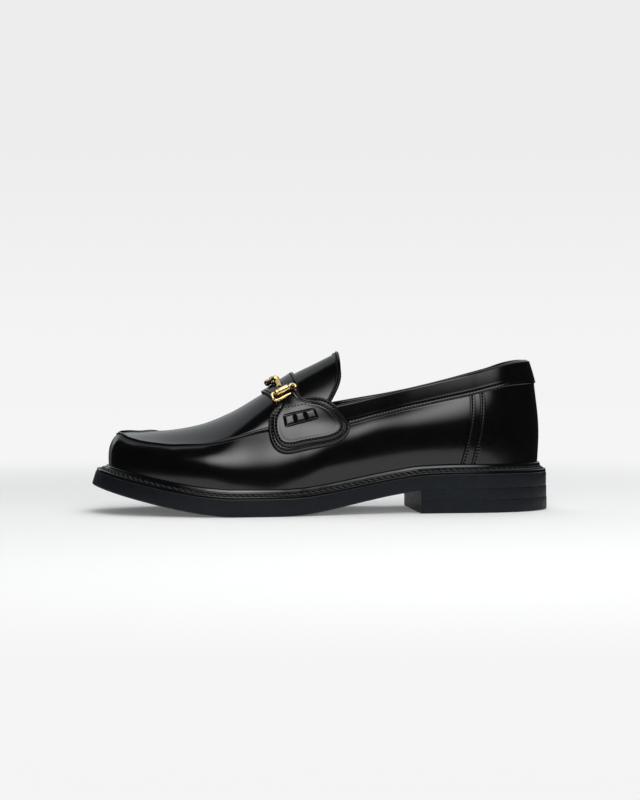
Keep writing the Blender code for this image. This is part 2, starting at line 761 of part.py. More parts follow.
def axis_hit(tree, from_heel, axis_height, angle):
    """Where a line from the instep's axis meets the upper; the angle is 0 straight up, + to the inner side."""
    beta = math.radians(angle)
    direction = Vector((0.0, math.sin(beta), math.cos(beta)))
    start = Vector((from_heel, ACROSS_MID, axis_height))
    spot, normal, _, _ = tree.ray_cast(start, direction)
    if normal.dot(direction) < 0.0:
        normal = -normal
    return np.array(spot), np.array(normal)


def sheet(name, hits, lift, thick, material):
    """Closed sheet from a grid of (point, direction) hits, lifted off the surface."""
    rows, size = len(hits), len(hits[0])
    points = []
    for rise in (lift, lift + thick):
        for row in hits:
            points += [spot + normal * rise for spot, normal in row]
    shift = rows * size
    faces = []
    for r in range(rows - 1):
        for k in range(size - 1):
            corners = [r * size + k, r * size + k + 1, (r + 1) * size + k + 1, (r + 1) * size + k]
            faces.append(tuple(reversed(corners)))
            faces.append(tuple(i + shift for i in corners))
    edge = [k for k in range(size)] + [r * size + size - 1 for r in range(1, rows)]
    edge += [(rows - 1) * size + k for k in range(size - 2, -1, -1)] + [r * size for r in range(rows - 2, 0, -1)]
    for here, there in zip(edge, edge[1:] + edge[:1]):
        faces.append((here, there, there + shift, here + shift))
    return make_object(name, points, faces, material)


def disc(name, tree, side, outline, centre, lift, thick, material):
    """Closed tab laid on one side of the upper from its side-view outline, as rings about a centre."""
    rim = closed_spline([(p.from_heel, p.height) for p in outline], 6)
    length = np.concatenate([[0.0], np.cumsum(np.linalg.norm(np.diff(np.vstack([rim, rim[:1]]), axis=0), axis=1))])
    looped = np.vstack([rim, rim[:1]])
    marks = np.linspace(0.0, length[-1], TAB_SPOKES + 1)[:-1]
    rim = np.column_stack([np.interp(marks, length, looped[:, k]) for k in (0, 1)])
    middle = np.array(centre)
    hits = [side_hit(tree, side, *middle)]
    for ring in TAB_RINGS[1:]:
        for spot in rim:
            hits.append(side_hit(tree, side, *(middle + (spot - middle) * ring)))
    points = [spot + normal * rise for rise in (lift, lift + thick) for spot, normal in hits]
    shift = len(hits)
    rings = len(TAB_RINGS) - 1
    faces = []
    for k in range(TAB_SPOKES):
        n = (k + 1) % TAB_SPOKES
        cells = [(0, 1 + k, 1 + n)]
        for ring in range(rings - 1):
            low, high = 1 + ring * TAB_SPOKES, 1 + (ring + 1) * TAB_SPOKES
            cells.append((low + k, high + k, high + n, low + n))
        for cell in cells:
            faces.append(cell)
            faces.append(tuple(i + shift for i in reversed(cell)))
        edge = 1 + (rings - 1) * TAB_SPOKES
        faces.append((edge + n, edge + k, edge + k + shift, edge + n + shift))
    return make_object(name, points, faces, material)


def build_strap(tree, leather):
    """Band across the instep, ending just above the tabs."""
    axis_height = crest_z(178.0) - STRAP_AXIS_DROP
    rear, front = STRAP_END_REAR, STRAP_END_FRONT
    turns = np.linspace(-1.0, 1.0, 19)
    hits = []
    for turn in turns:
        side = OUTER if turn < 0.0 else INNER
        part = abs(turn)
        row = []
        for q in np.linspace(0.0, 1.0, 5):
            end_place = rear.from_heel + (front.from_heel - rear.from_heel) * q
            end_height = rear.height + (front.height - rear.height) * q
            end, _ = side_hit(tree, side, end_place, end_height)
            swing = math.degrees(math.atan2(abs(end[1] - ACROSS_MID), end[2] - axis_height))
            top_place = STRAP_TOP_REAR + (STRAP_TOP_FRONT - STRAP_TOP_REAR) * q
            place = top_place + (end_place - top_place) * part ** 1.8
            row.append(axis_hit(tree, place, axis_height, side * part * swing))
        hits.append(row)
    return sheet("saddle_strap", hits, LIFT, STRAP_THICK, leather)


def tube(name, centres, radii, closed, material, sides=8):
    """Round bar along a line of centres with its own radius at each; ends are closed flat."""
    line = np.asarray(centres, float)
    count = len(line)
    points, faces = [], []
    up = None
    for i in range(count):
        if closed:
            ahead = line[(i + 1) % count] - line[i - 1]
        else:
            ahead = line[min(i + 1, count - 1)] - line[max(i - 1, 0)]
        ahead = ahead / np.linalg.norm(ahead)
        if up is None:
            helper = np.array([0.0, 0.0, 1.0]) if abs(ahead[2]) < 0.8 else np.array([1.0, 0.0, 0.0])
            up = np.cross(ahead, helper)
        up = up - ahead * np.dot(up, ahead)
        up = up / np.linalg.norm(up)
        aside = np.cross(ahead, up)
        for k in range(sides):
            angle = 2.0 * math.pi * k / sides
            points.append(line[i] + radii[i] * (math.cos(angle) * up + math.sin(angle) * aside))
    spans = count if closed else count - 1
    for i in range(spans):
        n = (i + 1) % count
        for k in range(sides):
            m = (k + 1) % sides
            faces.append((i * sides + k, i * sides + m, n * sides + m, n * sides + k))
    if not closed:
        faces.append(tuple(range(sides - 1, -1, -1)))
        faces.append(tuple((count - 1) * sides + k for k in range(sides)))
    return make_object(name, points, faces, material)


def ring_frame(tree, side):
    """Middle of one ring and its directions: along the slope of the vamp, up the girth and off the surface."""
    spot, normal = side_hit(tree, side, *RING_MIDDLE)
    slope = math.radians(RING_SLOPE)
    along = np.array([-math.cos(slope), 0.0, math.sin(slope)])
    along = along - normal * np.dot(along, normal)
    along = along / np.linalg.norm(along)
    up = np.cross(normal, along)
    if up[2] < 0.0:
        up = -up
    rise = LIFT + STRAP_THICK + GAP + BARREL
    return spot + normal * rise, along, up, normal


def build_bit(tree, metal):
    """Two rings with a barrel bar each and the link between them over the crest."""
    starts = {}
    for side, name in ((OUTER, "bit_ring_outer"), (INNER, "bit_ring_inner")):
        middle, along, up, _ = ring_frame(tree, side)
        half, drop, corner = 0.5 * RING_LENGTH, 0.5 * RING_DEPTH, 1.5
        path, radii = [], []
        for share in (-0.8, -0.45, 0.0, 0.45, 0.8):
            path.append(middle + along * (half - corner) * share / 0.8 + up * drop)
            radii.append(RING_WIRE + (BARREL - RING_WIRE) * math.cos(0.5 * math.pi * share / 0.9) ** 0.5)
        for x, y in ((half, 0.45 * drop), (half, -0.45 * drop), (half - corner, -drop), (0.0, -drop),
                     (corner - half, -drop), (-half, -0.45 * drop), (-half, 0.45 * drop)):
            path.append(middle + along * x + up * y)
            radii.append(RING_WIRE)
        tube(name, path, radii, True, metal)
        starts[side] = middle + up * drop
    axis_height = crest_z(RING_MIDDLE[0]) - STRAP_AXIS_DROP
    limits = {}
    for side, bar in starts.items():
        limits[side] = math.degrees(math.atan2(abs(bar[1] - ACROSS_MID), bar[2] - axis_height))
    place = 0.5 * (starts[OUTER][0] + starts[INNER][0])
    reach = 26.0
    clear = math.degrees((BARREL + 1.4 * GAP) / reach)
    rise = LIFT + STRAP_THICK + GAP + KNUCKLE
    path, radii = [], []
    for angle in np.linspace(-limits[OUTER] + clear, limits[INNER] - clear, 17):
        spot, normal = axis_hit(tree, place, axis_height, float(angle))
        path.append(spot + normal * rise)
        swell = max(math.exp(-((abs(angle) - KNUCKLE_ANGLE) / 5.0) ** 2), 0.0)
        radii.append(LINK_WIRE + (KNUCKLE - LINK_WIRE) * swell)
    tube("bit_link", path, radii, False, metal)


def main():
    """Clear the file and build every piece."""
    for body in list(bpy.data.objects):
        bpy.data.objects.remove(body, do_unlink=True)
    leather = make_material("black_leather", (0.012, 0.012, 0.013), 0.0, 0.3)
    saddle_leather = make_material("saddle_leather", (0.014, 0.014, 0.015), 0.0, 0.3)
    welt_leather = make_material("welt_black", (0.016, 0.017, 0.018), 0.0, 0.5)
    footbed = make_material("footbed_leather", (0.02, 0.02, 0.02), 0.0, 0.6)
    rubber = make_material("sole_rubber", (0.014, 0.017, 0.02), 0.0, 0.55)
    gold = make_material("gold_metal", (0.75, 0.55, 0.22), 1.0, 0.2)
    build_sole(rubber)
    build_insole(footbed)
    upper = Upper()
    upper.build(leather)
    build_welt(upper.columns, welt_leather)
    tree = support_tree()
    build_strap(tree, saddle_leather)
    for side, word in ((OUTER, "outer"), (INNER, "inner")):
        disc("saddle_base_" + word, tree, side, BASE_TAB, BASE_CENTRE, LIFT, BASE_THICK, saddle_leather)
        disc("saddle_tab_" + word, tree, side, UPPER_TAB, TAB_CENTRE, LIFT + BASE_THICK + LIFT, TAB_THICK,
             saddle_leather)
    build_bit(tree, gold)


main()
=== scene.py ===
"""Looks of a left bit loafer in black leather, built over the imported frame.

Shapes are worked out in shoe millimetres: from_heel along the foot, across it (minus is the outer side)
and height over the floor. Places round the shoe are a signed share of its outline: 0 at the heel back,
to -1 at the toe along the outer side and to +1 at the toe along the inner side.
"""
from __future__ import annotations

import logging
import math
from dataclasses import dataclass, field
from enum import Enum
from typing import Callable, NamedTuple, Sequence

import bpy
import numpy as np
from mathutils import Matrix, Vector
from mathutils.bvhtree import BVHTree

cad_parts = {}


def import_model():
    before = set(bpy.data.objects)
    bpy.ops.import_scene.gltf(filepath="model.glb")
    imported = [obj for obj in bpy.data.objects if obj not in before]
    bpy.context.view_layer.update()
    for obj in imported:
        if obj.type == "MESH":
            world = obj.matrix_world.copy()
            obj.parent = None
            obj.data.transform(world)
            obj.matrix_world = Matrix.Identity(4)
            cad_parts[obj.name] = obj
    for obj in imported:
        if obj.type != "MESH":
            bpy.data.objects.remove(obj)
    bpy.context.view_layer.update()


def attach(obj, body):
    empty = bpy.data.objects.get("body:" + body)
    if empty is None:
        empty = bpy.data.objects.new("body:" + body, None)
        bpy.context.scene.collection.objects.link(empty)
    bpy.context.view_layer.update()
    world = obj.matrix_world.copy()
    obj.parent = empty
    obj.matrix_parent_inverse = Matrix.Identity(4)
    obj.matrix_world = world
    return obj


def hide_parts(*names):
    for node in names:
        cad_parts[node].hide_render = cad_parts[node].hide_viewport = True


Array = np.ndarray
Colour = tuple[float, float, float]
LOG = logging.getLogger("loafer")
MM = 0.001
GAP = 0.3
PHOTO_WIDTH = 640
PHOTO_HEIGHT = 800
WHITE: Colour = (1.0, 1.0, 1.0)
BLACK: Colour = (0.0, 0.0, 0.0)


class Side(Enum):
    """Side of the foot, by the sign of its places across."""

    OUTER = -1
    INNER = 1


class Slot(Enum):
    """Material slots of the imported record."""

    UPPER = "upper_leather"
    WELT = "welt_leather"
    FOOTBED = "footbed_leather"
    SOLE = "sole_rubber"
    METAL = "gold_metal"


def soft(low: float, high: float, value: Array | float) -> Array:
    """Soft step from 0 at low to 1 at high."""
    t = np.clip((np.asarray(value, float) - low) / (high - low), 0.0, 1.0)
    return t * t * (3.0 - 2.0 * t)


def paired(first: Array | float, second: Array | float) -> list[Array]:
    """Two sets of numbers spread to one shape."""
    return np.broadcast_arrays(np.asarray(first, float), np.asarray(second, float))


def unit(vectors: Array) -> Array:
    """Vectors scaled to length one."""
    return vectors / np.maximum(np.linalg.norm(vectors, axis=-1, keepdims=True), 1e-9)


def cubic(t: Array, step: Array, start: Array, leave: Array, end: Array, arrive: Array) -> Array:
    """Cubic between two knots a step apart, by their values and slopes, at shares t of the way."""
    return ((1 + 2 * t) * (1 - t) ** 2 * start + t * (1 - t) ** 2 * step * leave
            + t * t * (3 - 2 * t) * end + t * t * (t - 1) * step * arrive)


class Curve:
    """Smooth curve through table values that never overshoots them."""

    def __init__(self, places: Sequence[float], values: Sequence[float]) -> None:
        """Keep the knots and work out their slopes.

        Args:
            places: rising places of the knots.
            values: value at each knot.
        """
        self.places = np.asarray(places, float)
        self.values = np.asarray(values, float)
        self.steps = np.diff(self.places)
        slope = np.diff(self.values) / self.steps
        safe = np.where(slope == 0.0, 1.0, slope)
        before = 2.0 * self.steps[1:] + self.steps[:-1]
        after = self.steps[1:] + 2.0 * self.steps[:-1]
        mean = (before + after) / (before / safe[:-1] + after / safe[1:])
        inner = np.where(slope[:-1] * slope[1:] > 0.0, mean, 0.0)
        self.slopes = np.concatenate([slope[:1], inner, slope[-1:]])

    def __call__(self, place: Array | float) -> Array:
        """Value of the curve at one or many places."""
        spot = np.clip(np.asarray(place, float), self.places[0], self.places[-1])
        i = np.clip(np.searchsorted(self.places, spot, side="right") - 1, 0, len(self.steps) - 1)
        step = self.steps[i]
        t = (spot - self.places[i]) / step
        return cubic(t, step, self.values[i], self.slopes[i], self.values[i + 1], self.slopes[i + 1])


class OutlinePoint(NamedTuple):
    """Corner of the outsole's outline."""

    name: str
    from_heel: float
    across: float


OUTLINE = [OutlinePoint(*row) for row in (
    ("heel back", 0.0, -1.0),
    ("heel outer corner", 9.0, -22.0),
    ("heel outer", 35.0, -36.5),
    ("breast outer", 70.0, -38.5),
    ("waist outer", 105.0, -40.5),
    ("arch outer", 145.0, -47.0),
    ("joint outer", 180.0, -53.5),
    ("ball outer", 206.0, -55.5),
    ("vamp outer", 236.0, -51.5),
    ("small toe", 265.0, -41.0),
    ("toe outer", 288.0, -24.0),
    ("toe", 299.0, 4.0),
    ("big toe", 291.5, 28.0),
    ("toe inner", 270.0, 43.5),
    ("vamp inner", 243.0, 51.0),
    ("ball inner", 215.0, 52.0),
    ("joint inner", 190.0, 48.0),
    ("arch inner", 160.0, 39.5),
    ("waist inner", 125.0, 33.5),
    ("breast inner", 85.0, 33.5),
    ("heel inner", 40.0, 35.5),
    ("heel inner corner", 11.0, 23.0),
)]
TOE_INDEX = 11


class SoleSection(NamedTuple):
    """Outsole at one place: underside over the floor, thickness, and the upper's inset from its edge."""

    from_heel: float
    underside: float
    thick: float
    inset: float


SOLE = [SoleSection(*row) for row in (
    (0.0, 15.8, 8.6, 7.0),
    (60.0, 15.8, 8.6, 6.8),
    (88.0, 15.0, 8.6, 6.8),
    (105.0, 12.6, 8.7, 6.8),
    (124.0, 9.0, 8.9, 6.8),
    (140.0, 5.6, 9.3, 6.8),
    (155.0, 2.6, 9.8, 6.8),
    (168.0, 0.7, 10.2, 6.8),
    (180.0, 0.0, 10.4, 6.8),
    (212.0, 0.0, 10.4, 6.8),
    (229.0, 1.5, 10.1, 6.8),
    (248.0, 4.7, 9.8, 7.2),
    (268.0, 9.2, 9.5, 7.8),
    (286.0, 14.0, 9.2, 8.3),
    (300.0, 18.4, 9.0, 8.5),
)]


class WallSection(NamedTuple):
    """Side wall at one place: seam height and lean, how late it turns in, its bulge and its seam's roll."""

    from_heel: float
    seam_z: float
    seam_in_outer: float
    seam_in_inner: float
    turn: float
    bulge: float
    ridge: float


WALLS = [WallSection(*row) for row in (
    (5.0, 82.6, 2.0, 2.0, 2.2, 1.4, 0.5),
    (26.0, 81.3, 2.0, 2.0, 2.2, 1.6, 0.5),
    (52.0, 76.2, 5.0, 3.6, 4.0, 1.8, 0.5),
    (91.0, 67.6, 5.2, 3.2, 6.0, 1.8, 0.5),
    (115.0, 61.8, 4.2, 3.2, 8.0, 1.8, 0.5),
    (138.0, 56.6, 5.2, 3.8, 6.4, 1.8, 0.5),
    (165.0, 55.6, 10.6, 7.4, 2.6, 1.8, 0.5),
    (188.0, 53.6, 12.8, 10.6, 1.95, 1.6, 0.15),
    (213.0, 48.7, 10.6, 10.4, 2.7, 1.2, 0.2),
    (238.0, 45.2, 10.2, 10.2, 5.4, 0.9, 0.6),
    (255.0, 45.2, 9.6, 9.6, 5.6, 0.8, 0.8),
    (270.0, 47.4, 8.6, 8.6, 5.6, 0.7, 0.9),
    (282.0, 48.0, 7.4, 7.4, 5.4, 0.6, 1.0),
    (296.0, 48.9, 6.2, 6.2, 5.2, 0.5, 1.1),
)]


class CollarSection(NamedTuple):
    """Topline at one place: its height and how far it leans in from the seam."""

    from_heel: float
    top_z: float
    top_in: float


COLLAR = [CollarSection(*row) for row in (
    (5.0, 96.8, 4.0),
    (20.0, 95.7, 3.6),
    (38.0, 92.0, 3.0),
    (77.0, 82.8, 2.6),
    (116.0, 73.4, 2.4),
    (136.0, 68.8, 2.2),
    (147.5, 66.8, 2.0),
)]


class CrestSection(NamedTuple):
    """Middle line of the apron and tongue: height and fullness of the arch."""

    from_heel: float
    crest_z: float
    crown: float


CREST = [CrestSection(*row) for row in (
    (139.5, 103.4, 1.3),
    (155.0, 95.6, 1.3),
    (168.4, 89.0, 1.35),
    (188.7, 76.1, 1.45),
    (209.6, 63.9, 1.8),
    (229.0, 56.2, 2.4),
    (251.0, 52.0, 3.0),
    (268.0, 50.4, 3.2),
    (286.0, 49.6, 3.0),
)]
BULGE_ROUND = 1.6
BAND_ROUND = 1.2
MIDDLE_HEIGHT = 40.0
OUTER_DIP = Curve([232.0, 255.0, 270.0, 282.0, 294.0], [0.0, 0.4, 1.6, 1.0, 0.0])
INNER_RISE = Curve([213.0, 238.0, 262.0, 276.0, 285.0, 292.0, 299.0], [0.0, 3.0, 5.2, 3.7, 3.2, 2.7, 2.2])
TOE_PEAK = 2.2
PEAK_START = 0.02
PEAK_END = 0.085
SEAM_SLOT = Curve([190.0, 213.0, 238.0, 255.0, 270.0, 285.0, 298.0], [0.4, 0.8, 1.3, 1.7, 2.0, 1.3, 0.6])
INNER_DROP = 2.0
DROP_REAR = (6.0, 34.0)
DROP_FRONT = (90.0, 140.0)
TONGUE_STATION = 147.5
TONGUE_LEAN = 12.2
LEAN_END = 200.0
LEAN_LOW = 0.04
LEAN_HIGH = 0.72
SPAN_SAMPLES = 24
SHARE_STEP = 0.004
EDGE_SHARE = 0.2


def column(table: Sequence[NamedTuple], name: str) -> Curve:
    """Curve of one named column of a table along the shoe."""
    return Curve([row.from_heel for row in table], [getattr(row, name) for row in table])


def closed_spline(points: Sequence[Sequence[float]], samples: int) -> Array:
    """Dense closed cubic spline through points.

    Args:
        points: knots of the loop.
        samples: points put on each span.

    Returns:
        The loop as an array of points, without the first repeated.
    """
    knots = np.asarray(points, float)
    count = len(knots)
    spans = np.linalg.norm(np.roll(knots, -1, axis=0) - knots, axis=1)
    system = np.zeros((count, count))
    right = np.zeros_like(knots)
    for i in range(count):
        before, after = spans[i - 1], spans[i]
        system[i, i - 1] = after
        system[i, i] = 2.0 * (before + after)
        system[i, (i + 1) % count] = before
        right[i] = 3.0 * (after / before * (knots[i] - knots[i - 1])
                          + before / after * (knots[(i + 1) % count] - knots[i]))
    slope = np.linalg.solve(system, right)
    t = (np.arange(samples) / samples)[None, :, None]
    span = spans[:, None, None]
    here, there = knots[:, None], np.roll(knots, -1, axis=0)[:, None]
    leave, arrive = slope[:, None], np.roll(slope, -1, axis=0)[:, None]
    return cubic(t, span, here, leave, there, arrive).reshape(-1, knots.shape[1])


def line_length(line: Array) -> Array:
    """Distance of each point of a line from its start."""
    return np.concatenate([[0.0], np.cumsum(np.linalg.norm(np.diff(line, axis=0), axis=1))])


def read_along(values: Array, length: Array, marks: Array | float) -> Array:
    """Values along a line, read at marks of its own length."""
    return np.stack([np.interp(marks, length, values[:, k]) for k in range(values.shape[1])], axis=-1)


def even_points(line: Array, distances: Array) -> Array:
    """Points at given distances along a dense line."""
    return read_along(line, line_length(line), distances)


class Last:
    """Outside form of the shoe, shared by every piece."""

    def __init__(self) -> None:
        """Work out the outline and the curves along the shoe."""
        rim = closed_spline([(p.from_heel, p.across) for p in OUTLINE], SPAN_SAMPLES)
        self.along_mid = 0.5 * (rim[:, 0].min() + rim[:, 0].max())
        self.across_mid = 0.5 * (rim[:, 1].min() + rim[:, 1].max())
        split = TOE_INDEX * SPAN_SAMPLES
        outer = rim[:split + 1]
        inner = np.vstack([rim[split:], rim[:1]])[::-1]
        self.halves = [(points, line_length(points)) for points in (outer, inner)]
        self.outer_length = self.halves[0][1][-1]
        self.underside = column(SOLE, "underside")
        self.thick = column(SOLE, "thick")
        self.inset = column(SOLE, "inset")
        self.seam_z = column(WALLS, "seam_z")
        self.seam_in_outer = column(WALLS, "seam_in_outer")
        self.seam_in_inner = column(WALLS, "seam_in_inner")
        self.turn = column(WALLS, "turn")
        self.bulge = column(WALLS, "bulge")
        self.ridge = column(WALLS, "ridge")
        self.top_z = column(COLLAR, "top_z")
        self.top_in = column(COLLAR, "top_in")
        self.crest_z = column(CREST, "crest_z")
        self.crown = column(CREST, "crown")

    def to_world(self, points: Array) -> Array:
        """Shoe millimetres to the frame's metres."""
        spot = np.asarray(points, float)
        along = self.along_mid - spot[..., 0]
        across = spot[..., 1] - self.across_mid
        return np.stack([along, across, spot[..., 2]], axis=-1) * MM

    def share_at(self, from_heel: float) -> float:
        """Share of the outer outline at a place along the shoe."""
        points, length = self.halves[0]
        return float(np.interp(from_heel, points[:, 0], length / length[-1]))

    def place(self, share: Array) -> Array:
        """Plan point of the outline at signed shares."""
        part = np.abs(share)
        spots = [read_along(points, length / length[-1], part) for points, length in self.halves]
        return np.where((np.asarray(share) < 0.0)[..., None], spots[0], spots[1])

    def inward(self, share: Array) -> Array:
        """Plan direction from the outline into the shoe."""
        ahead = (np.asarray(share) + SHARE_STEP + 1.0) % 2.0 - 1.0
        behind = (np.asarray(share) - SHARE_STEP + 1.0) % 2.0 - 1.0
        along = self.place(ahead) - self.place(behind)
        return unit(np.stack([along[..., 1], -along[..., 0]], axis=-1))

    def bend(self, from_heel: Array, across: Array, rise: Array) -> Array:
        """Points over the outsole's underside, square to its bent plate.

        Args:
            from_heel: places along the shoe.
            across: places across it.
            rise: heights above the underside.

        Returns:
            The points.
        """
        slope = 0.5 * (self.underside(from_heel + 1.0) - self.underside(from_heel - 1.0))
        scale = 1.0 / np.hypot(1.0, slope)
        return np.stack([from_heel - rise * slope * scale, across + 0.0 * scale,
                         self.underside(from_heel) + rise * scale], axis=-1)

    def rim(self, share: Array, inset: Array | float, rise: Array | float) -> Array:
        """Points on the outline, moved in by an inset and up by a rise above the underside."""
        spot = self.place(share) + np.asarray(inset)[..., None] * self.inward(share)
        return self.bend(spot[..., 0], spot[..., 1], rise)

    def seam_height(self, share: Array) -> Array:
        """Height of the seam line: low on the outside, drawn up at the toe, high on the inside."""
        share = np.asarray(share, float)
        station = self.place(share)[..., 0]
        peak = TOE_PEAK * (1.0 - soft(PEAK_START, PEAK_END, 1.0 - np.abs(share)))
        return self.seam_z(station) + np.where(share < 0.0, peak - OUTER_DIP(station), INNER_RISE(station))

    def wall(self, share: Array, height: Array) -> Array:
        """Side wall of the upper.

        Args:
            share: signed shares of the outline.
            height: 0 at the feather line to 1 at the seam line.

        Returns:
            Points of the wall.
        """
        share, height = paired(share, height)
        station = self.place(share)[..., 0]
        foot = self.rim(share, self.inset(station), self.thick(station) + GAP)
        lean = np.where(share < 0.0, self.seam_in_outer(station), self.seam_in_inner(station))
        bulge = self.bulge(station) * np.sin(np.pi * np.clip(height, 0.0, 1.0)) ** BULGE_ROUND
        inset = lean * np.maximum(height, 0.0) ** self.turn(station) - bulge
        flat = foot[..., :2] + inset[..., None] * self.inward(share)
        z = foot[..., 2] + (self.seam_height(share) - foot[..., 2]) * height
        return np.concatenate([flat, z[..., None]], axis=-1)

    def band(self, share: Array, height: Array) -> Array:
        """Collar band.

        Args:
            share: signed shares of the outline.
            height: 0 at the seam line to 1 at the topline.

        Returns:
            Points of the band.
        """
        share, height = paired(share, height)
        station = self.place(share)[..., 0]
        seam = self.wall(share, np.ones_like(share))
        lean = self.top_in(station) * height ** BAND_ROUND
        flat = seam[..., :2] + lean[..., None] * self.inward(share)
        low = INNER_DROP * soft(*DROP_REAR, station) * (1.0 - soft(*DROP_FRONT, station))
        top = self.top_z(station) - np.where(share > 0.0, low, 0.0)
        z = seam[..., 2] + (top - seam[..., 2]) * height
        return np.concatenate([flat, z[..., None]], axis=-1)

    def arch(self, share: Array, angle: Array) -> Array:
        """One side of the apron and tongue.

        Args:
            share: signed shares of the outline.
            angle: 0 at the seam line to 90 degrees at the crest.

        Returns:
            Points of the arch.
        """
        share, angle = paired(share, angle)
        near = self.wall(share, np.ones_like(share))
        middle = 0.5 * (near + self.wall(-share, np.ones_like(share)))
        lean = TONGUE_LEAN * (1.0 - soft(TONGUE_STATION, LEAN_END, middle[..., 0]))
        crest = middle[..., 0] - lean
        beta = np.radians(angle)
        crown = np.sin(beta) ** self.crown(crest)
        rise = self.crest_z(crest) - middle[..., 2]
        spot = middle + (near - middle) * np.cos(beta)[..., None]
        spot[..., 0] -= lean * soft(LEAN_LOW, LEAN_HIGH, crown)
        spot[..., 2] += rise * crown
        return spot

    def span(self, share: Array, turn: Array) -> Array:
        """Whole arch, turn from 0 at the outer seam over the crest to 180 at the inner seam."""
        share, turn = paired(share, turn)
        outer = self.arch(-share, np.minimum(turn, 90.0))
        inner = self.arch(share, np.minimum(180.0 - turn, 90.0))
        return np.where((turn <= 90.0)[..., None], outer, inner)

    def normals(self, grid: Array, wrap: bool = False) -> Array:
        """Outward directions of a grid of points.

        Args:
            grid: points as columns by rows.
            wrap: whether the last column meets the first.

        Returns:
            Unit directions, one for each point.
        """
        if wrap:
            across = np.roll(grid, -1, axis=0) - np.roll(grid, 1, axis=0)
        else:
            across = np.gradient(grid, axis=0)
        facing = unit(np.cross(across, np.gradient(grid, axis=1)))
        outward = grid - np.array([0.0, self.across_mid, MIDDLE_HEIGHT])
        outward[..., 0] = 0.0
        return -facing if np.sum(facing * outward) < 0.0 else facing


@dataclass
class MeshData:
    """Points in shoe millimetres with their faces and the finish number of each face."""

    points: Array
    faces: list[tuple[int, ...]]
    finish_of: list[int] = field(default_factory=list)


def together(meshes: Sequence[MeshData]) -> MeshData:
    """Several meshes side by side in one."""
    shifts = np.cumsum([0] + [len(mesh.points) for mesh in meshes]).tolist()
    faces = [tuple(i + shift for i in face) for mesh, shift in zip(meshes, shifts) for face in mesh.faces]
    return MeshData(np.vstack([mesh.points for mesh in meshes]), faces)


def grid_faces(columns: int, rows: int, wrap_columns: bool, wrap_rows: bool) -> list[tuple[int, ...]]:
    """Four-sided faces over a grid of points stored column by column.

    Args:
        columns: number of columns.
        rows: number of rows in each.
        wrap_columns: whether the last column joins the first.
        wrap_rows: whether the last row joins the first.

    Returns:
        Faces as tuples of point numbers.
    """
    c = np.arange(columns if wrap_columns else columns - 1)
    r = np.arange(rows if wrap_rows else rows - 1)
    c, r = np.meshgrid(c, r, indexing="ij")
    n, m = (c + 1) % columns, (r + 1) % rows
    quads = np.stack([c * rows + r, n * rows + r, n * rows + m, c * rows + m], axis=-1)
    return [tuple(q) for q in quads.reshape(-1, 4).tolist()]


def swept(loops: Array, wrap: bool) -> MeshData:
    """Solid from closed section loops, one for each column.

    Args:
        loops: points as columns by places round the section.
        wrap: whether the last section joins the first; otherwise the ends are closed flat.

    Returns:
        The mesh of the solid.
    """
    columns, size = loops.shape[:2]
    faces = grid_faces(columns, size, wrap, True)
    if not wrap:
        faces.append(tuple(range(size - 1, -1, -1)))
        faces.append(tuple((columns - 1) * size + k for k in range(size)))
    return MeshData(loops.reshape(-1, 3), faces)


def stacked(grids: Sequence[Array]) -> MeshData:
    """Solid through open grids of one size.

    Args:
        grids: grids of points from its underside to its top.

    Returns:
        The closed mesh.
    """
    columns, rows = grids[0].shape[:2]
    size = columns * rows
    top = (len(grids) - 1) * size
    faces = grid_faces(columns, rows, False, False)
    faces = [tuple(reversed(face)) for face in faces] + [tuple(i + top for i in face) for face in faces]
    edge = [c * rows for c in range(columns)]
    edge += [(columns - 1) * rows + r for r in range(1, rows)]
    edge += [c * rows + rows - 1 for c in range(columns - 2, -1, -1)]
    edge += list(range(rows - 2, 0, -1))
    for low in range(0, top, size):
        high = low + size
        for here, there in zip(edge, edge[1:] + edge[:1]):
            faces.append((low + here, low + there, high + there, high + here))
    return MeshData(np.concatenate([grid.reshape(-1, 3) for grid in grids]), faces)


def slab(grid: Array, normals: Array, low: Array | float, high: Array | float) -> MeshData:
    """Sheet of leather over a grid.

    Args:
        grid: points as columns by rows.
        normals: directions off it.
        low: height of the sheet's underside over the grid.
        high: height of its top.

    Returns:
        The mesh of the sheet.
    """
    return stacked([grid + normals * np.asarray(height)[..., None] for height in (low, high)])


def row_at(grid: Array, normals: Array, away: Array, distance: float) -> tuple[Array, Array]:
    """Line on a grid at a distance in from its edge.

    Args:
        grid: points as columns by rows.
        normals: directions off it.
        away: distance of each point from the edge, along its own column.
        distance: distance of the line.

    Returns:
        One point in each column, and the directions off the grid.
    """
    order = np.argsort(away, axis=1)
    line, up = [np.array([read_along(column[near], reach[near], distance)
                          for column, reach, near in zip(values, away, order)]) for values in (grid, normals)]
    return line, unit(up)


def rounded(distance: Array, radius: float) -> Array:
    """Share of full thickness near a rounded edge, at a distance in from it."""
    part = np.clip(np.asarray(distance) / radius, 0.0, 1.0)
    return EDGE_SHARE + (1.0 - EDGE_SHARE) * np.sqrt(1.0 - (1.0 - part) ** 2)


def hump(place: Array, middle: float, width: float) -> Array:
    """Soft hump of height one about a middle."""
    return np.exp(-((place - middle) / width) ** 2)


def stitched(distance: Array, row: float, depth: float = 0.3, pits: Array | float = 1.0) -> Array:
    """Relief of a sewn edge.

    Args:
        distance: distance in from the edge.
        row: distance of the stitch row.
        depth: depth of the groove at a stitch.
        pits: 1 at the middle of a stitch and 0 between two.

    Returns:
        Height over the plain leather: a groove along the row and swells beside it and between stitches.
    """
    groove = -depth * (0.1 + 0.9 * np.asarray(pits) ** 1.5) * hump(distance, row, 0.45)
    beside = 0.6 * depth * hump(distance, 0.52 * row, 0.28 * row)
    return groove + beside + 0.35 * depth * hump(distance, 1.5 * row, 0.28 * row)


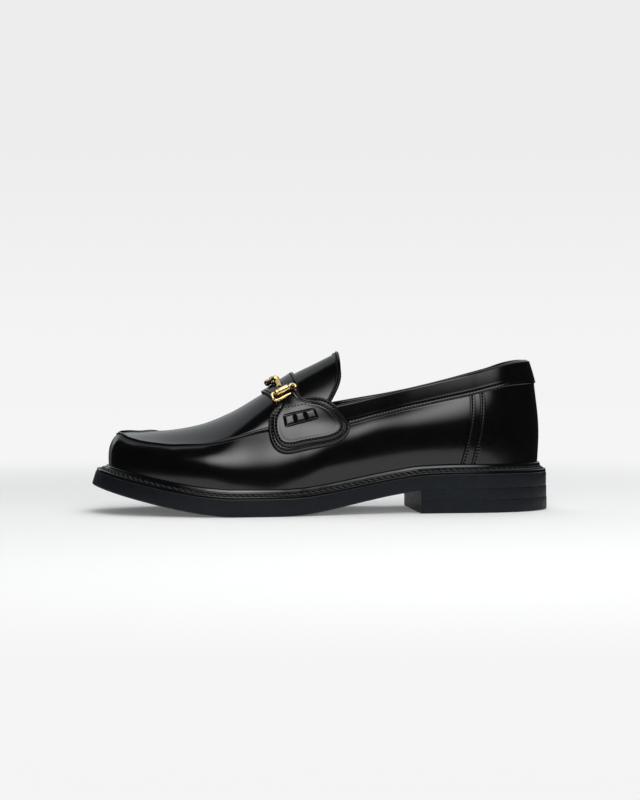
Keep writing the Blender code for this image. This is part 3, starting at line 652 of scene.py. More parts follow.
def edge_distance(grid: Array, sides: str) -> Array:
    """Distance of each point of a grid from the nearest of its named edges.

    Args:
        grid: points as columns by rows.
        sides: letters of the edges that count: first and last column (f, l), bottom and top row (b, t).

    Returns:
        Distances in millimetres.
    """
    columns = np.zeros(grid.shape[:2])
    columns[1:] = np.cumsum(np.linalg.norm(np.diff(grid, axis=0), axis=-1), axis=0)
    rows = np.zeros(grid.shape[:2])
    rows[:, 1:] = np.cumsum(np.linalg.norm(np.diff(grid, axis=1), axis=-1), axis=1)
    found = {"f": columns, "l": columns[-1:] - columns, "b": rows, "t": rows[:, -1:] - rows}
    return np.min([found[side] for side in sides], axis=0)


def near_edges(count: int, fine: float) -> Array:
    """Places from 0 to 1, closer together towards both ends."""
    t = np.linspace(0.0, 1.0, count)
    return t - fine * np.sin(2.0 * np.pi * t) / (2.0 * np.pi)


def bar(line: Array, radii: Array, closed: bool, sides: int = 18) -> MeshData:
    """Round bar along a line with its own radius at each point.

    Args:
        line: centres of the bar.
        radii: radius at each.
        closed: whether the bar is a ring.
        sides: points round the bar.

    Returns:
        The mesh, with flat ends when it isn't a ring.
    """
    if closed:
        ahead = unit(np.roll(line, -1, axis=0) - np.roll(line, 1, axis=0))
    else:
        ahead = unit(np.gradient(line, axis=0))
    up = np.zeros_like(line)
    start = np.array([0.0, 0.0, 1.0]) if abs(ahead[0, 2]) < 0.8 else np.array([1.0, 0.0, 0.0])
    held = np.cross(ahead[0], start)
    for i, direction in enumerate(ahead):
        held = unit(held - direction * np.dot(held, direction))
        up[i] = held
    aside = np.cross(ahead, up)
    turns = 2.0 * np.pi * np.arange(sides) / sides
    loops = (line[:, None] + radii[:, None, None] * (np.cos(turns)[None, :, None] * up[:, None]
                                                     + np.sin(turns)[None, :, None] * aside[:, None]))
    return swept(loops, closed)


class Bead:
    """Unit bead that stitches are made from, its ends blunter than an egg's."""

    RINGS = 5
    AROUND = 7
    FULLNESS = 0.55

    def __init__(self) -> None:
        """Work out the bead's points and faces."""
        angles = np.pi * np.arange(1, self.RINGS + 1) / (self.RINGS + 1)
        turn = 2.0 * np.pi * np.arange(self.AROUND) / self.AROUND
        points = [(1.0, 0.0, 0.0)]
        for angle in angles:
            reach = math.sin(angle) ** self.FULLNESS
            points += [(math.cos(angle), reach * math.cos(a), reach * math.sin(a)) for a in turn]
        points.append((-1.0, 0.0, 0.0))
        self.points = np.array(points)
        size, last = self.AROUND, len(points) - 1
        self.faces = [(0, 1 + k, 1 + (k + 1) % size) for k in range(size)]
        for ring in range(self.RINGS - 1):
            low, high = 1 + ring * size, 1 + (ring + 1) * size
            for k in range(size):
                after = (k + 1) % size
                self.faces.append((low + k, high + k, high + after, low + after))
        low = 1 + (self.RINGS - 1) * size
        self.faces += [(low + k, last, low + (k + 1) % size) for k in range(size)]

    def along(self, spots: Array, ahead: Array, up: Array, sizes: Sequence[float]) -> MeshData:
        """Beads at many places.

        Args:
            spots: middles of the beads.
            ahead: their long directions.
            up: directions off the surface.
            sizes: half length, half width and half height.

        Returns:
            One mesh of all the beads.
        """
        aside = unit(np.cross(up, ahead))
        local = self.points * np.asarray(sizes)
        points = (spots[:, None] + ahead[:, None] * local[None, :, :1] + aside[:, None] * local[None, :, 1:2]
                  + up[:, None] * local[None, :, 2:])
        size = len(self.points)
        faces = [tuple(i + b * size for i in face) for b in range(len(spots)) for face in self.faces]
        return MeshData(points.reshape(-1, 3), faces)


@dataclass(frozen=True)
class Thread:
    """Sewing thread: stitch pitch, length, width and how proud it lies, and its slant to the row."""

    pitch: float
    length: float
    width: float
    proud: float
    slant: float = 0.0

    def count(self, length: float) -> int:
        """Number of stitches on a row of a given length."""
        return max(2, int(length / self.pitch))

    def pits(self, line: Array) -> Array:
        """How near each point of a row is to the middle of a stitch, from 0 to 1."""
        length = line_length(line)
        return 0.5 - 0.5 * np.cos(2.0 * np.pi * self.count(length[-1]) * length / length[-1])

    def sew(self, line: Array, normals: Array, bead: Bead) -> MeshData:
        """Stitches along a line.

        Args:
            line: dense points of the row, on the leather.
            normals: direction off the leather at each.
            bead: shape of one stitch.

        Returns:
            The mesh of the whole row.
        """
        length = line_length(line)
        count = self.count(length[-1])
        marks = (np.arange(count) + 0.5) * length[-1] / count
        spots = even_points(line, marks)
        up = unit(read_along(normals, length, marks))
        ahead = unit(even_points(line, np.minimum(marks + 0.4, length[-1])) - even_points(line, marks - 0.4))
        ahead = unit(ahead - up * np.sum(ahead * up, axis=-1, keepdims=True))
        turn = math.radians(self.slant)
        ahead = ahead * math.cos(turn) + np.cross(up, ahead) * math.sin(turn)
        return bead.along(spots, ahead, up, (0.5 * self.length, 0.5 * self.width, self.proud))


class Surface:
    """Node tree of one material."""

    def __init__(self, name: str) -> None:
        """Start a material with its shader and object coordinates."""
        self.material = bpy.data.materials.new(name)
        self.material.use_nodes = True
        self.tree = self.material.node_tree
        self.shader = self.tree.nodes["Principled BSDF"]
        self.place = self.tree.nodes.new("ShaderNodeTexCoord").outputs["Object"]

    def fixed(self, **values: float | Colour) -> None:
        """Set the shader's own sockets, named with _ for each space."""
        for name, value in values.items():
            socket = self.shader.inputs[name.replace("_", " ")]
            socket.default_value = (*value, 1.0) if isinstance(value, tuple) else value

    def node(self, kind: str, value: bpy.types.NodeSocket, entry: str, **inputs: float) -> bpy.types.Node:
        """Node that a pattern goes into.

        Args:
            kind: its type, without the common first word.
            value: the pattern.
            entry: socket that takes the pattern.
            inputs: values of its other sockets, named with _ for each space.

        Returns:
            The node.
        """
        node = self.tree.nodes.new("ShaderNode" + kind)
        for name, number in inputs.items():
            node.inputs[name.replace("_", " ")].default_value = number
        self.tree.links.new(value, node.inputs[entry])
        return node

    def noise(self, scale: float, detail: float = 3.0) -> bpy.types.NodeSocket:
        """Cloudy pattern, by features in a metre."""
        return self.node("TexNoise", self.place, "Vector", Scale=scale, Detail=detail).outputs["Fac"]

    def cells(self, scale: float) -> bpy.types.NodeSocket:
        """Cell pattern of leather grain, by features in a metre."""
        node = self.node("TexVoronoi", self.place, "Vector", Scale=scale)
        node.feature = "SMOOTH_F1"
        return node.outputs["Distance"]

    def radius(self) -> bpy.types.NodeSocket:
        """Distance in metres from the object's origin."""
        node = self.node("VectorMath", self.place, "Vector")
        node.operation = "LENGTH"
        return node.outputs["Value"]

    def height(self) -> bpy.types.NodeSocket:
        """Height in metres over the object's origin."""
        return self.node("SeparateXYZ", self.place, "Vector").outputs["Z"]

    def ranged(self, value: bpy.types.NodeSocket, low: float, high: float,
               span: tuple[float, float] = (0.3, 0.7)) -> bpy.types.NodeSocket:
        """A pattern moved from its own span of values to another range.

        Args:
            value: the pattern.
            low: result at the start of the span.
            high: result at its end.
            span: values of the pattern that count.

        Returns:
            The moved pattern.
        """
        start, end = span
        node = self.node("MapRange", value, "Value", From_Min=start, From_Max=end, To_Min=low, To_Max=high)
        node.interpolation_type = "SMOOTHSTEP"
        return node.outputs["Result"]

    def toned(self, value: bpy.types.NodeSocket, dark: Colour, light: Colour) -> None:
        """Colour the surface between two tones.

        Args:
            value: pattern that mixes them.
            dark: tone at 0.
            light: tone at 1.
        """
        node = self.node("Mix", value, "Factor")
        node.data_type = "RGBA"
        first, second = [s for s in node.inputs if s.type == "RGBA"]
        first.default_value = (*dark, 1.0)
        second.default_value = (*light, 1.0)
        colour = next(s for s in node.outputs if s.type == "RGBA")
        self.tree.links.new(colour, self.shader.inputs["Base Color"])

    def rough(self, value: bpy.types.NodeSocket, low: float, high: float) -> None:
        """Vary the roughness by a pattern."""
        self.tree.links.new(self.ranged(value, low, high), self.shader.inputs["Roughness"])

    def bumped(self, layers: Sequence[tuple[bpy.types.NodeSocket, float, float]]) -> None:
        """Bump from several patterns.

        Args:
            layers: pattern, strength and height in millimetres of each.
        """
        before = None
        for value, strength, height in layers:
            node = self.node("Bump", value, "Height", Strength=strength, Distance=height * MM)
            if before is not None:
                self.tree.links.new(before, node.inputs["Normal"])
            before = node.outputs["Normal"]
        self.tree.links.new(before, self.shader.inputs["Normal"])


@dataclass(frozen=True)
class Leather:
    """Black leather: tones, polish and grain."""

    name: str
    dark: Colour = (0.0012, 0.0012, 0.0014)
    light: Colour = (0.0020, 0.0020, 0.0023)
    low: float = 0.155
    high: float = 0.185
    coat: float = 0.12
    coat_roughness: float = 0.08
    grain: float = 0.06
    wave: float = 0.03

    def make(self) -> bpy.types.Material:
        """Material of the leather."""
        surface = Surface(self.name)
        surface.fixed(Specular_IOR_Level=0.5, Coat_Weight=self.coat, Coat_Roughness=self.coat_roughness)
        surface.toned(surface.ranged(surface.noise(70.0), 0.0, 1.0), self.dark, self.light)
        surface.rough(surface.noise(900.0, 4.0), self.low, self.high)
        surface.bumped([(surface.noise(30.0, 1.0), self.wave, 2.0), (surface.cells(1300.0), self.grain, 0.12),
                        (surface.noise(2600.0, 3.0), self.grain, 0.08)])
        return surface.material


@dataclass(frozen=True)
class Rubber:
    """Matt moulded rubber: tones and texture."""

    name: str
    dark: Colour = (0.0028, 0.0046, 0.0070)
    light: Colour = (0.0040, 0.0064, 0.0094)

    def make(self) -> bpy.types.Material:
        """Material of the rubber."""
        surface = Surface(self.name)
        surface.fixed(Specular_IOR_Level=0.3)
        surface.toned(surface.ranged(surface.noise(110.0, 5.0), 0.0, 1.0), self.dark, self.light)
        surface.rough(surface.noise(400.0, 4.0), 0.46, 0.62)
        surface.bumped([(surface.noise(900.0, 4.0), 0.18, 0.15), (surface.noise(160.0, 2.0), 0.08, 0.4)])
        return surface.material


@dataclass(frozen=True)
class Gilt:
    """Polished gold-coloured metal."""

    name: str
    dark: Colour = (0.80, 0.57, 0.22)
    light: Colour = (0.96, 0.74, 0.38)

    def make(self) -> bpy.types.Material:
        """Material of the metal."""
        surface = Surface(self.name)
        surface.fixed(Metallic=1.0)
        surface.toned(surface.ranged(surface.noise(500.0), 0.0, 1.0), self.dark, self.light)
        surface.rough(surface.noise(900.0, 4.0), 0.16, 0.26)
        surface.bumped([(surface.noise(700.0, 2.0), 0.06, 0.2)])
        return surface.material


@dataclass(frozen=True)
class Cotton:
    """Waxed black sewing thread."""

    name: str
    dark: Colour = (0.0008, 0.0008, 0.0009)
    light: Colour = (0.0024, 0.0024, 0.0027)
    specular: float = 0.12

    def make(self) -> bpy.types.Material:
        """Material of the thread."""
        surface = Surface(self.name)
        surface.fixed(Specular_IOR_Level=self.specular)
        surface.toned(surface.ranged(surface.noise(1500.0), 0.0, 1.0), self.dark, self.light)
        surface.rough(surface.noise(1800.0), 0.5, 0.7)
        surface.bumped([(surface.noise(4000.0, 2.0), 0.3, 0.1)])
        return surface.material


class Finishes:
    """All materials of the shoe."""

    def __init__(self) -> None:
        """Make each material once."""
        self.calf = Leather("polished_calf").make()
        self.saddle = Leather("saddle_calf", low=0.17, high=0.21, coat=0.2, coat_roughness=0.14,
                              wave=0.02).make()
        # Lighter, rougher calf for the toe seam: its light tone is a painted highlight along the seam's
        # ridge.
        self.toe_painted_highlight = Leather("toe_painted_highlight_calf", dark=(0.024, 0.024, 0.025), light=(0.045, 0.045, 0.047),
                            low=0.26, high=0.34).make()
        self.lining = Leather("lining_calf", low=0.5, high=0.62, coat=0.0, grain=0.2).make()
        self.footbed = Leather("footbed_calf", dark=(0.006, 0.006, 0.0066), light=(0.011, 0.011, 0.012),
                               low=0.45, high=0.6, coat=0.0, grain=0.25).make()
        self.welt = Leather("welt_leather", dark=(0.0014, 0.0015, 0.0018), light=(0.0022, 0.0024, 0.0028),
                            low=0.14, high=0.18, coat=0.6, grain=0.12).make()
        self.rubber = Rubber("outsole_rubber").make()
        self.gilt = Gilt("bit_gilt").make()
        self.thread = Cotton("black_thread").make()
        # The band's thread is lighter than the black thread: a painted highlight for stitches catching the
        # light.
        self.band_thread_painted_highlight = Cotton("band_thread_painted_highlight", dark=(0.005, 0.005, 0.0055),
                                  light=(0.013, 0.013, 0.0135)).make()
        self.cord = Cotton("welt_cord", dark=(0.016, 0.0175, 0.019), light=(0.038, 0.04, 0.043),
                           specular=0.5).make()


def placed(name: str, data: bpy.types.ID) -> bpy.types.Object:
    """Object of some data, put in the scene."""
    made = bpy.data.objects.new(name, data)
    bpy.context.scene.collection.objects.link(made)
    return made


class Bench:
    """Where meshes become pieces that ride on the frame."""

    def __init__(self, form: Last) -> None:
        """Keep the form whose millimetres the meshes are in."""
        self.form = form

    def piece(self, name: str, mesh: MeshData, materials: Sequence[bpy.types.Material], slot: Slot,
              nodes: Sequence[str] = ()) -> bpy.types.Object:
        """Make an object of a mesh.

        Args:
            name: name of the piece.
            mesh: its points and faces.
            materials: finishes, by the numbers in the mesh.
            slot: material slot of the record; not used.
            nodes: nodes of the frame that it stands for.

        Returns:
            The object, riding on the frame's only body.
        """
        world = self.form.to_world(mesh.points)
        data = bpy.data.meshes.new(name)
        data.from_pydata(world.tolist(), [], mesh.faces)
        for material in materials:
            data.materials.append(material)
        if mesh.finish_of:
            data.polygons.foreach_set("material_index", mesh.finish_of)
        data.polygons.foreach_set("use_smooth", [True] * len(data.polygons))
        data.update()
        if self.volume(world, data) < 0.0:
            data.flip_normals()
        body = placed(name, data)
        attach(body, "root")
        if nodes:
            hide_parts(*nodes)
        LOG.info("%s: %d faces", name, len(data.polygons))
        return body

    @staticmethod
    def volume(world: Array, data: bpy.types.Mesh) -> float:
        """Signed volume of a mesh, below 0 when its faces look inward."""
        data.calc_loop_triangles()
        corners = np.zeros(3 * len(data.loop_triangles), np.int64)
        data.loop_triangles.foreach_get("vertices", corners)
        a, b, c = (world[corners[k::3]] for k in range(3))
        return float(np.sum(a * np.cross(b, c)))


class Flank:
    """One side of the instep as leather drapes over it, with its seam line evened out."""

    REAR, FRONT, LOW, HIGH = 128.0, 198.0, 30.0, 84.0
    STEP = 0.8

    def __init__(self, instep: Instep, side: Side, spread: float = 5.0) -> None:
        """Sample the instep from the side and soften it.

        Args:
            instep: surface to drape over.
            side: side of the foot.
            spread: reach of the softening in millimetres.
        """
        along = np.arange(self.REAR, self.FRONT, self.STEP)
        height = np.arange(self.LOW, self.HIGH, self.STEP)
        grid = np.stack(np.meshgrid(along, height, indexing="ij"), axis=-1)
        depth = instep.from_side(side, grid)[..., 1]
        self.depth = self.softened(self.softened(depth, spread / self.STEP).T, 0.5 * spread / self.STEP).T
        slopes = np.gradient(self.depth, self.STEP)
        facing = np.stack([-slopes[0], np.ones_like(self.depth), -slopes[1]], axis=-1)
        self.facing = unit(facing * side.value)

    @staticmethod
    def softened(values: Array, spread: float) -> Array:
        """Rows of values smoothed along their length."""
        reach = int(3.0 * spread)
        weights = np.exp(-0.5 * (np.arange(-reach, reach + 1) / spread) ** 2)
        weights /= weights.sum()
        padded = np.pad(values, ((0, 0), (reach, reach)), mode="reflect", reflect_type="odd")
        return np.stack([np.convolve(row, weights, mode="valid") for row in padded])

    def read(self, values: Array, spots: Array) -> Array:
        """Values of the sampled grid between its points.

        Args:
            values: grid of numbers or of directions.
            spots: places as from_heel and height.

        Returns:
            One value for each place.
        """
        x = np.clip((spots[..., 0] - self.REAR) / self.STEP, 0.0, values.shape[0] - 1.001)
        z = np.clip((spots[..., 1] - self.LOW) / self.STEP, 0.0, values.shape[1] - 1.001)
        i, k = x.astype(int), z.astype(int)
        u, v = x - i, z - k
        if values.ndim == 3:
            u, v = u[..., None], v[..., None]
        return ((values[i, k] * (1 - u) + values[i + 1, k] * u) * (1 - v)
                + (values[i, k + 1] * (1 - u) + values[i + 1, k + 1] * u) * v)

    def laid(self, spots: Array) -> tuple[Array, Array]:
        """Points on the flank seen from the side, and the directions off it.

        Args:
            spots: places as from_heel and height, in any grid.

        Returns:
            Points and unit directions in the same grid.
        """
        across = self.read(self.depth, spots)
        points = np.stack([spots[..., 0], across, spots[..., 1]], axis=-1)
        return points, unit(self.read(self.facing, spots))


class Instep:
    """Smooth outside of the vamp and tongue that the saddle is laid on."""

    REAR = 112.0
    FRONT = 218.0
    COLUMNS = 90
    ROWS = 44
    LOW_WALL = 0.2
    OUTSIDE = 150.0
    NEAR = 2.5

    def __init__(self, form: Last) -> None:
        """Make a search tree of the surface.

        Args:
            form: form of the shoe.
        """
        self.form = form
        share = np.array([form.share_at(s) for s in np.linspace(self.REAR, self.FRONT, self.COLUMNS)])
        heights = np.linspace(self.LOW_WALL, 1.0, self.ROWS, endpoint=False)
        angles = np.linspace(0.0, 90.0, self.ROWS)
        halves = []
        for side in Side:
            place = side.value * share[:, None]
            grid = np.concatenate([form.wall(place, heights[None]), form.arch(place, angles[None])], axis=1)
            halves.append(MeshData(grid.reshape(-1, 3), grid_faces(*grid.shape[:2], False, False)))
        whole = together(halves)
        self.tree = BVHTree.FromPolygons([Vector(p) for p in whole.points], whole.faces)

    def from_side(self, side: Side, spots: Array) -> Array:
        """Where level lines from one side meet the surface.

        Args:
            side: side of the foot.
            spots: places as from_heel and height, in any grid.

        Returns:
            Points on the surface in the same grid, at the middle of the shoe above the crest.
        """
        found = []
        for from_heel, height in spots.reshape(-1, 2):
            start = Vector((from_heel, side.value * self.OUTSIDE, height))
            hit = self.tree.ray_cast(start, Vector((0.0, -side.value, 0.0)))[0]
            found.append((from_heel, self.form.across_mid, height) if hit is None else tuple(hit))
        return np.array(found).reshape(*spots.shape[:-1], 3)

    def from_axis(self, from_heel: float, axis_height: float, angle: float) -> Array:
        """Where a line from the instep's axis meets the surface.

        Args:
            from_heel: place along the shoe.
            axis_height: height of the axis there.
            angle: turn of the line, 0 straight up.

        Returns:
            The point.
        """
        beta = math.radians(angle)
        start = Vector((from_heel, self.form.across_mid, axis_height))
        return np.array(self.tree.ray_cast(start, Vector((0.0, math.sin(beta), math.cos(beta))))[0])

    def swing(self, spot: Array, axis_height: float) -> float:
        """Angle of a point about the instep's axis, 0 straight up."""
        return math.degrees(math.atan2(abs(spot[1] - self.form.across_mid), spot[2] - axis_height))

    def facing(self, points: Array) -> Array:
        """Directions off the surface, evened out over a neighbourhood.

        Args:
            points: points on the surface, in any grid.

        Returns:
            Unit directions in the same grid.
        """
        found = []
        for spot in points.reshape(-1, 3):
            total = Vector((0.0, 0.0, 0.0))
            for _, normal, _, _ in self.tree.find_nearest_range(Vector(spot), self.NEAR):
                outward = Vector((0.0, spot[1] - self.form.across_mid, spot[2] - MIDDLE_HEIGHT))
                total += normal if normal.dot(outward) > 0.0 else -normal
            found.append(tuple(total.normalized()))
        return np.array(found).reshape(points.shape)


class Level(NamedTuple):
    """Edge loop of a plate: its inset from the outline and its rise, each along the shoe."""

    inset: Callable[[Array], Array]
    rise: Callable[[Array], Array]


def steady(value: float) -> Callable[[Array], Array]:
    """One value all along the shoe."""
    return lambda station: np.full_like(station, value)


def rounded_edge(radius: Callable[[Array], Array], face: Callable[[Array], Array], low: bool,
                 inset: Callable[[Array], Array] = steady(0.0)) -> list[Level]:
    """Edge loops of a rounded edge.

    Args:
        radius: radius of the edge along the shoe.
        face: rise of the flat face that it rounds off.
        low: whether that face is the underside; the loops then run from the face to the side.
        inset: how far the side lies in from the outline.

    Returns:
        The loops in rising order.
    """
    way = 1.0 if low else -1.0
    loops = []
    for turn in np.linspace(0.0, 0.5 * math.pi, 5):
        part_in, part_up = 1.0 - math.sin(turn), way * (1.0 - math.cos(turn))
        loops.append(Level(lambda a, p=part_in: inset(a) + p * radius(a),
                           lambda a, p=part_up: face(a) + p * radius(a)))
    return loops if low else loops[::-1]


# The welt from its lip to the foot of its bead, as insets from the outline and rises over the outsole's top.
LIP_SECTION = [(0.35, 0.05), (0.3, 0.5), (0.3, 1.9), (0.45, 2.25), (0.8, 2.45), (1.6, 2.5), (2.1, 2.35),
               (2.5, 1.9), (3.0, 1.7), (3.6, 2.1), (3.9, 3.0), (4.0, 4.2), (4.15, 4.6)]
# The welt's bead and its back, as distances out from the upper's wall and rises over the outsole's top.
BEAD_SECTION = [(2.1, 4.7), (2.17, 4.9), (2.04, 5.15), (1.75, 5.75), (1.44, 6.35), (1.15, 6.62), (0.75, 6.65),
                (0.45, 6.3), (0.45, 5.0), (0.45, 3.2), (0.45, 0.3)]


@dataclass
class SoleUnit:
    """Outsole, heel and welt."""

    form: Last
    columns: int = 320
    across: int = 26
    heel_length: float = 90.0
    lift_split: float = 8.7
    edge_round: float = 1.2
    seam_round: float = 0.25
    step_out: float = 0.22
    sharp: float = 0.08
    insole_inset: float = 2.8
    insole_thick: float = 4.0
    insole_round: float = 1.0
    top_round: float = 0.3
    flat_from: float = 91.0
    flat_to: float = 108.0
    bead_push: float = 0.8
    bead_from: float = 66.0
    bead_to: float = 104.0
    rope_inset: float = 3.2
    rope_rise: float = 2.95
    rope_tilt: float = 1.3
    rope: Thread = Thread(pitch=4.0, length=4.7, width=1.5, proud=0.8, slant=24.0)

    def plate(self, shares: Array, levels: Sequence[Level], bent: bool) -> MeshData:
        """Plate between both sides of the outline.

        Args:
            shares: places of its columns from the heel back.
            levels: edge loops from the bottom to the top.
            bent: whether the rise is measured from the bent underside.

        Returns:
            The closed mesh, flat ended where the shares stop short of the toe.
        """
        steps = near_edges(self.across, 0.5)
        grids = []
        for level in levels:
            ends = []
            for side in Side:
                edge = self.form.place(side.value * shares)
                ends.append(edge + level.inset(edge[:, 0])[:, None] * self.form.inward(side.value * shares))
            flat = ends[0][:, None] + (ends[1] - ends[0])[:, None] * steps[None, :, None]
            height = level.rise(flat[..., 0])
            if bent:
                grids.append(self.form.bend(flat[..., 0], flat[..., 1], height))
            else:
                grids.append(np.concatenate([flat, height[..., None]], axis=-1))
        return stacked(grids)

    def tread_round(self, station: Array) -> Array:
        """Radius of the outsole's lower edge, sharp over the heel."""
        return self.sharp + self.edge_round * soft(self.flat_from, self.flat_to, station)

    def outsole(self) -> MeshData:
        """Full-length outsole with its bend and toe spring."""
        shares = np.linspace(0.0004, 0.9996, self.columns)
        levels = rounded_edge(self.tread_round, steady(0.0), True)
        levels += rounded_edge(steady(self.top_round), self.form.thick, False)
        return self.plate(shares, levels, True)

    def heel_layer(self, low: Callable[[Array], Array], high: Callable[[Array], Array], low_round: float,
                   inset: float) -> MeshData:
        """One layer of the heel.

        Args:
            low: its underside over the floor, along the shoe.
            high: its top.
            low_round: radius of its lower edge.
            inset: how far its side lies in from the outline.

        Returns:
            The mesh, its upper edge rounded so that the parting line catches the light.
        """
        shares = np.linspace(0.0004, self.form.share_at(self.heel_length), 110)
        levels = rounded_edge(steady(low_round), low, True, steady(inset))
        levels += rounded_edge(steady(self.seam_round), high, False, steady(inset))
        return self.plate(shares, levels, False)

    def heel_lift(self) -> MeshData:
        """Upper layer of the heel."""
        return self.heel_layer(steady(self.lift_split - 0.25), lambda a: self.form.underside(a) - 0.05,
                               self.sharp, -self.step_out)

    def heel_top_piece(self) -> MeshData:
        """Ground layer of the heel."""
        return self.heel_layer(steady(0.0), steady(self.lift_split - GAP), self.edge_round,
                               -2.0 * self.step_out)

    def ring(self) -> Array:
        """Signed shares once round the outline."""
        return np.linspace(-1.0, 1.0, 2 * self.columns + 1)[:-1]

    def bead_lift(self, station: Array) -> Array:
        """How far the heel panels push the welt's bead out."""
        return self.bead_push * (1.0 - soft(self.bead_from, self.bead_to, station))

    def welt(self) -> MeshData:
        """Welt with a flat lip, a stitch channel and a rolled bead against the upper."""
        share = self.ring()
        station = self.form.place(share)[:, 0]
        thick = self.form.thick(station)
        loops = [self.form.rim(share, np.full_like(share, inset), thick + rise)
                 for inset, rise in LIP_SECTION]
        loops += [self.by_wall(share, station, thick, rise, out) for out, rise in BEAD_SECTION]
        return swept(np.stack(loops, axis=1), True)

    def by_wall(self, share: Array, station: Array, thick: Array, rise: float, out: float) -> Array:
        """Loop of the welt beside the upper's wall.

        Args:
            share: signed shares of its columns.
            station: their places along the shoe.
            thick: thickness of the outsole there.
            rise: height over the outsole's top.
            out: distance out from the wall.

        Returns:
            Points of the loop.
        """
        foot = self.form.rim(share, self.form.inset(station), thick + GAP)
        height = np.maximum(0.0, (rise - GAP) / (self.form.seam_height(share) - foot[:, 2]))
        spot = self.form.wall(share, height)
        spot[:, :2] -= (out + self.bead_lift(station))[:, None] * self.form.inward(share)
        return spot

    def rope_stitches(self, bead: Bead) -> MeshData:
        """Heavy slanted stitches in the welt's channel."""
        share = np.concatenate([self.ring(), [1.0]])
        station = self.form.place(share)[:, 0]
        height = self.form.thick(station) + self.rope_rise
        line = self.form.rim(share, np.full_like(share, self.rope_inset), height)
        up = np.concatenate([-self.form.inward(share), np.full((len(share), 1), self.rope_tilt)], axis=1)
        return self.rope.sew(line, unit(up), bead)

    def insole_edge(self, station: Array) -> Array:
        """Inset of the footbed from the outline."""
        return self.form.inset(station) + self.insole_inset

    def insole(self) -> MeshData:
        """Footbed inside the upper, its upper edge rounded down."""
        shares = np.linspace(0.0, 1.0, 160)
        shares[0], shares[-1] = 0.001, 0.999
        levels = [Level(self.insole_edge, lambda a: self.form.thick(a) + GAP)]
        levels += rounded_edge(steady(self.insole_round),
                               lambda a: self.form.thick(a) + GAP + self.insole_thick,
                               False, self.insole_edge)
        return self.plate(shares, levels, True)

    def build(self, bench: Bench, finishes: Finishes, bead: Bead) -> None:
        """Make the pieces of the sole.

        Args:
            bench: where meshes become pieces.
            finishes: materials of the shoe.
            bead: shape of one stitch.
        """
        bench.piece("sole_plate", self.outsole(), [finishes.rubber], Slot.SOLE, ["outsole"])
        bench.piece("heel_stack", self.heel_lift(), [finishes.rubber], Slot.SOLE, ["heel_lift"])
        bench.piece("heel_tread", self.heel_top_piece(), [finishes.rubber], Slot.SOLE, ["heel_top_piece"])
        bench.piece("storm_welt", self.welt(), [finishes.welt], Slot.WELT, ["welt"])
        bench.piece("welt_stitches", self.rope_stitches(bead), [finishes.cord], Slot.WELT)
        bench.piece("footbed", self.insole(), [finishes.footbed], Slot.FOOTBED, ["insole"])


PANEL_HEIGHTS = np.linspace(0.05, 1.0, 170)


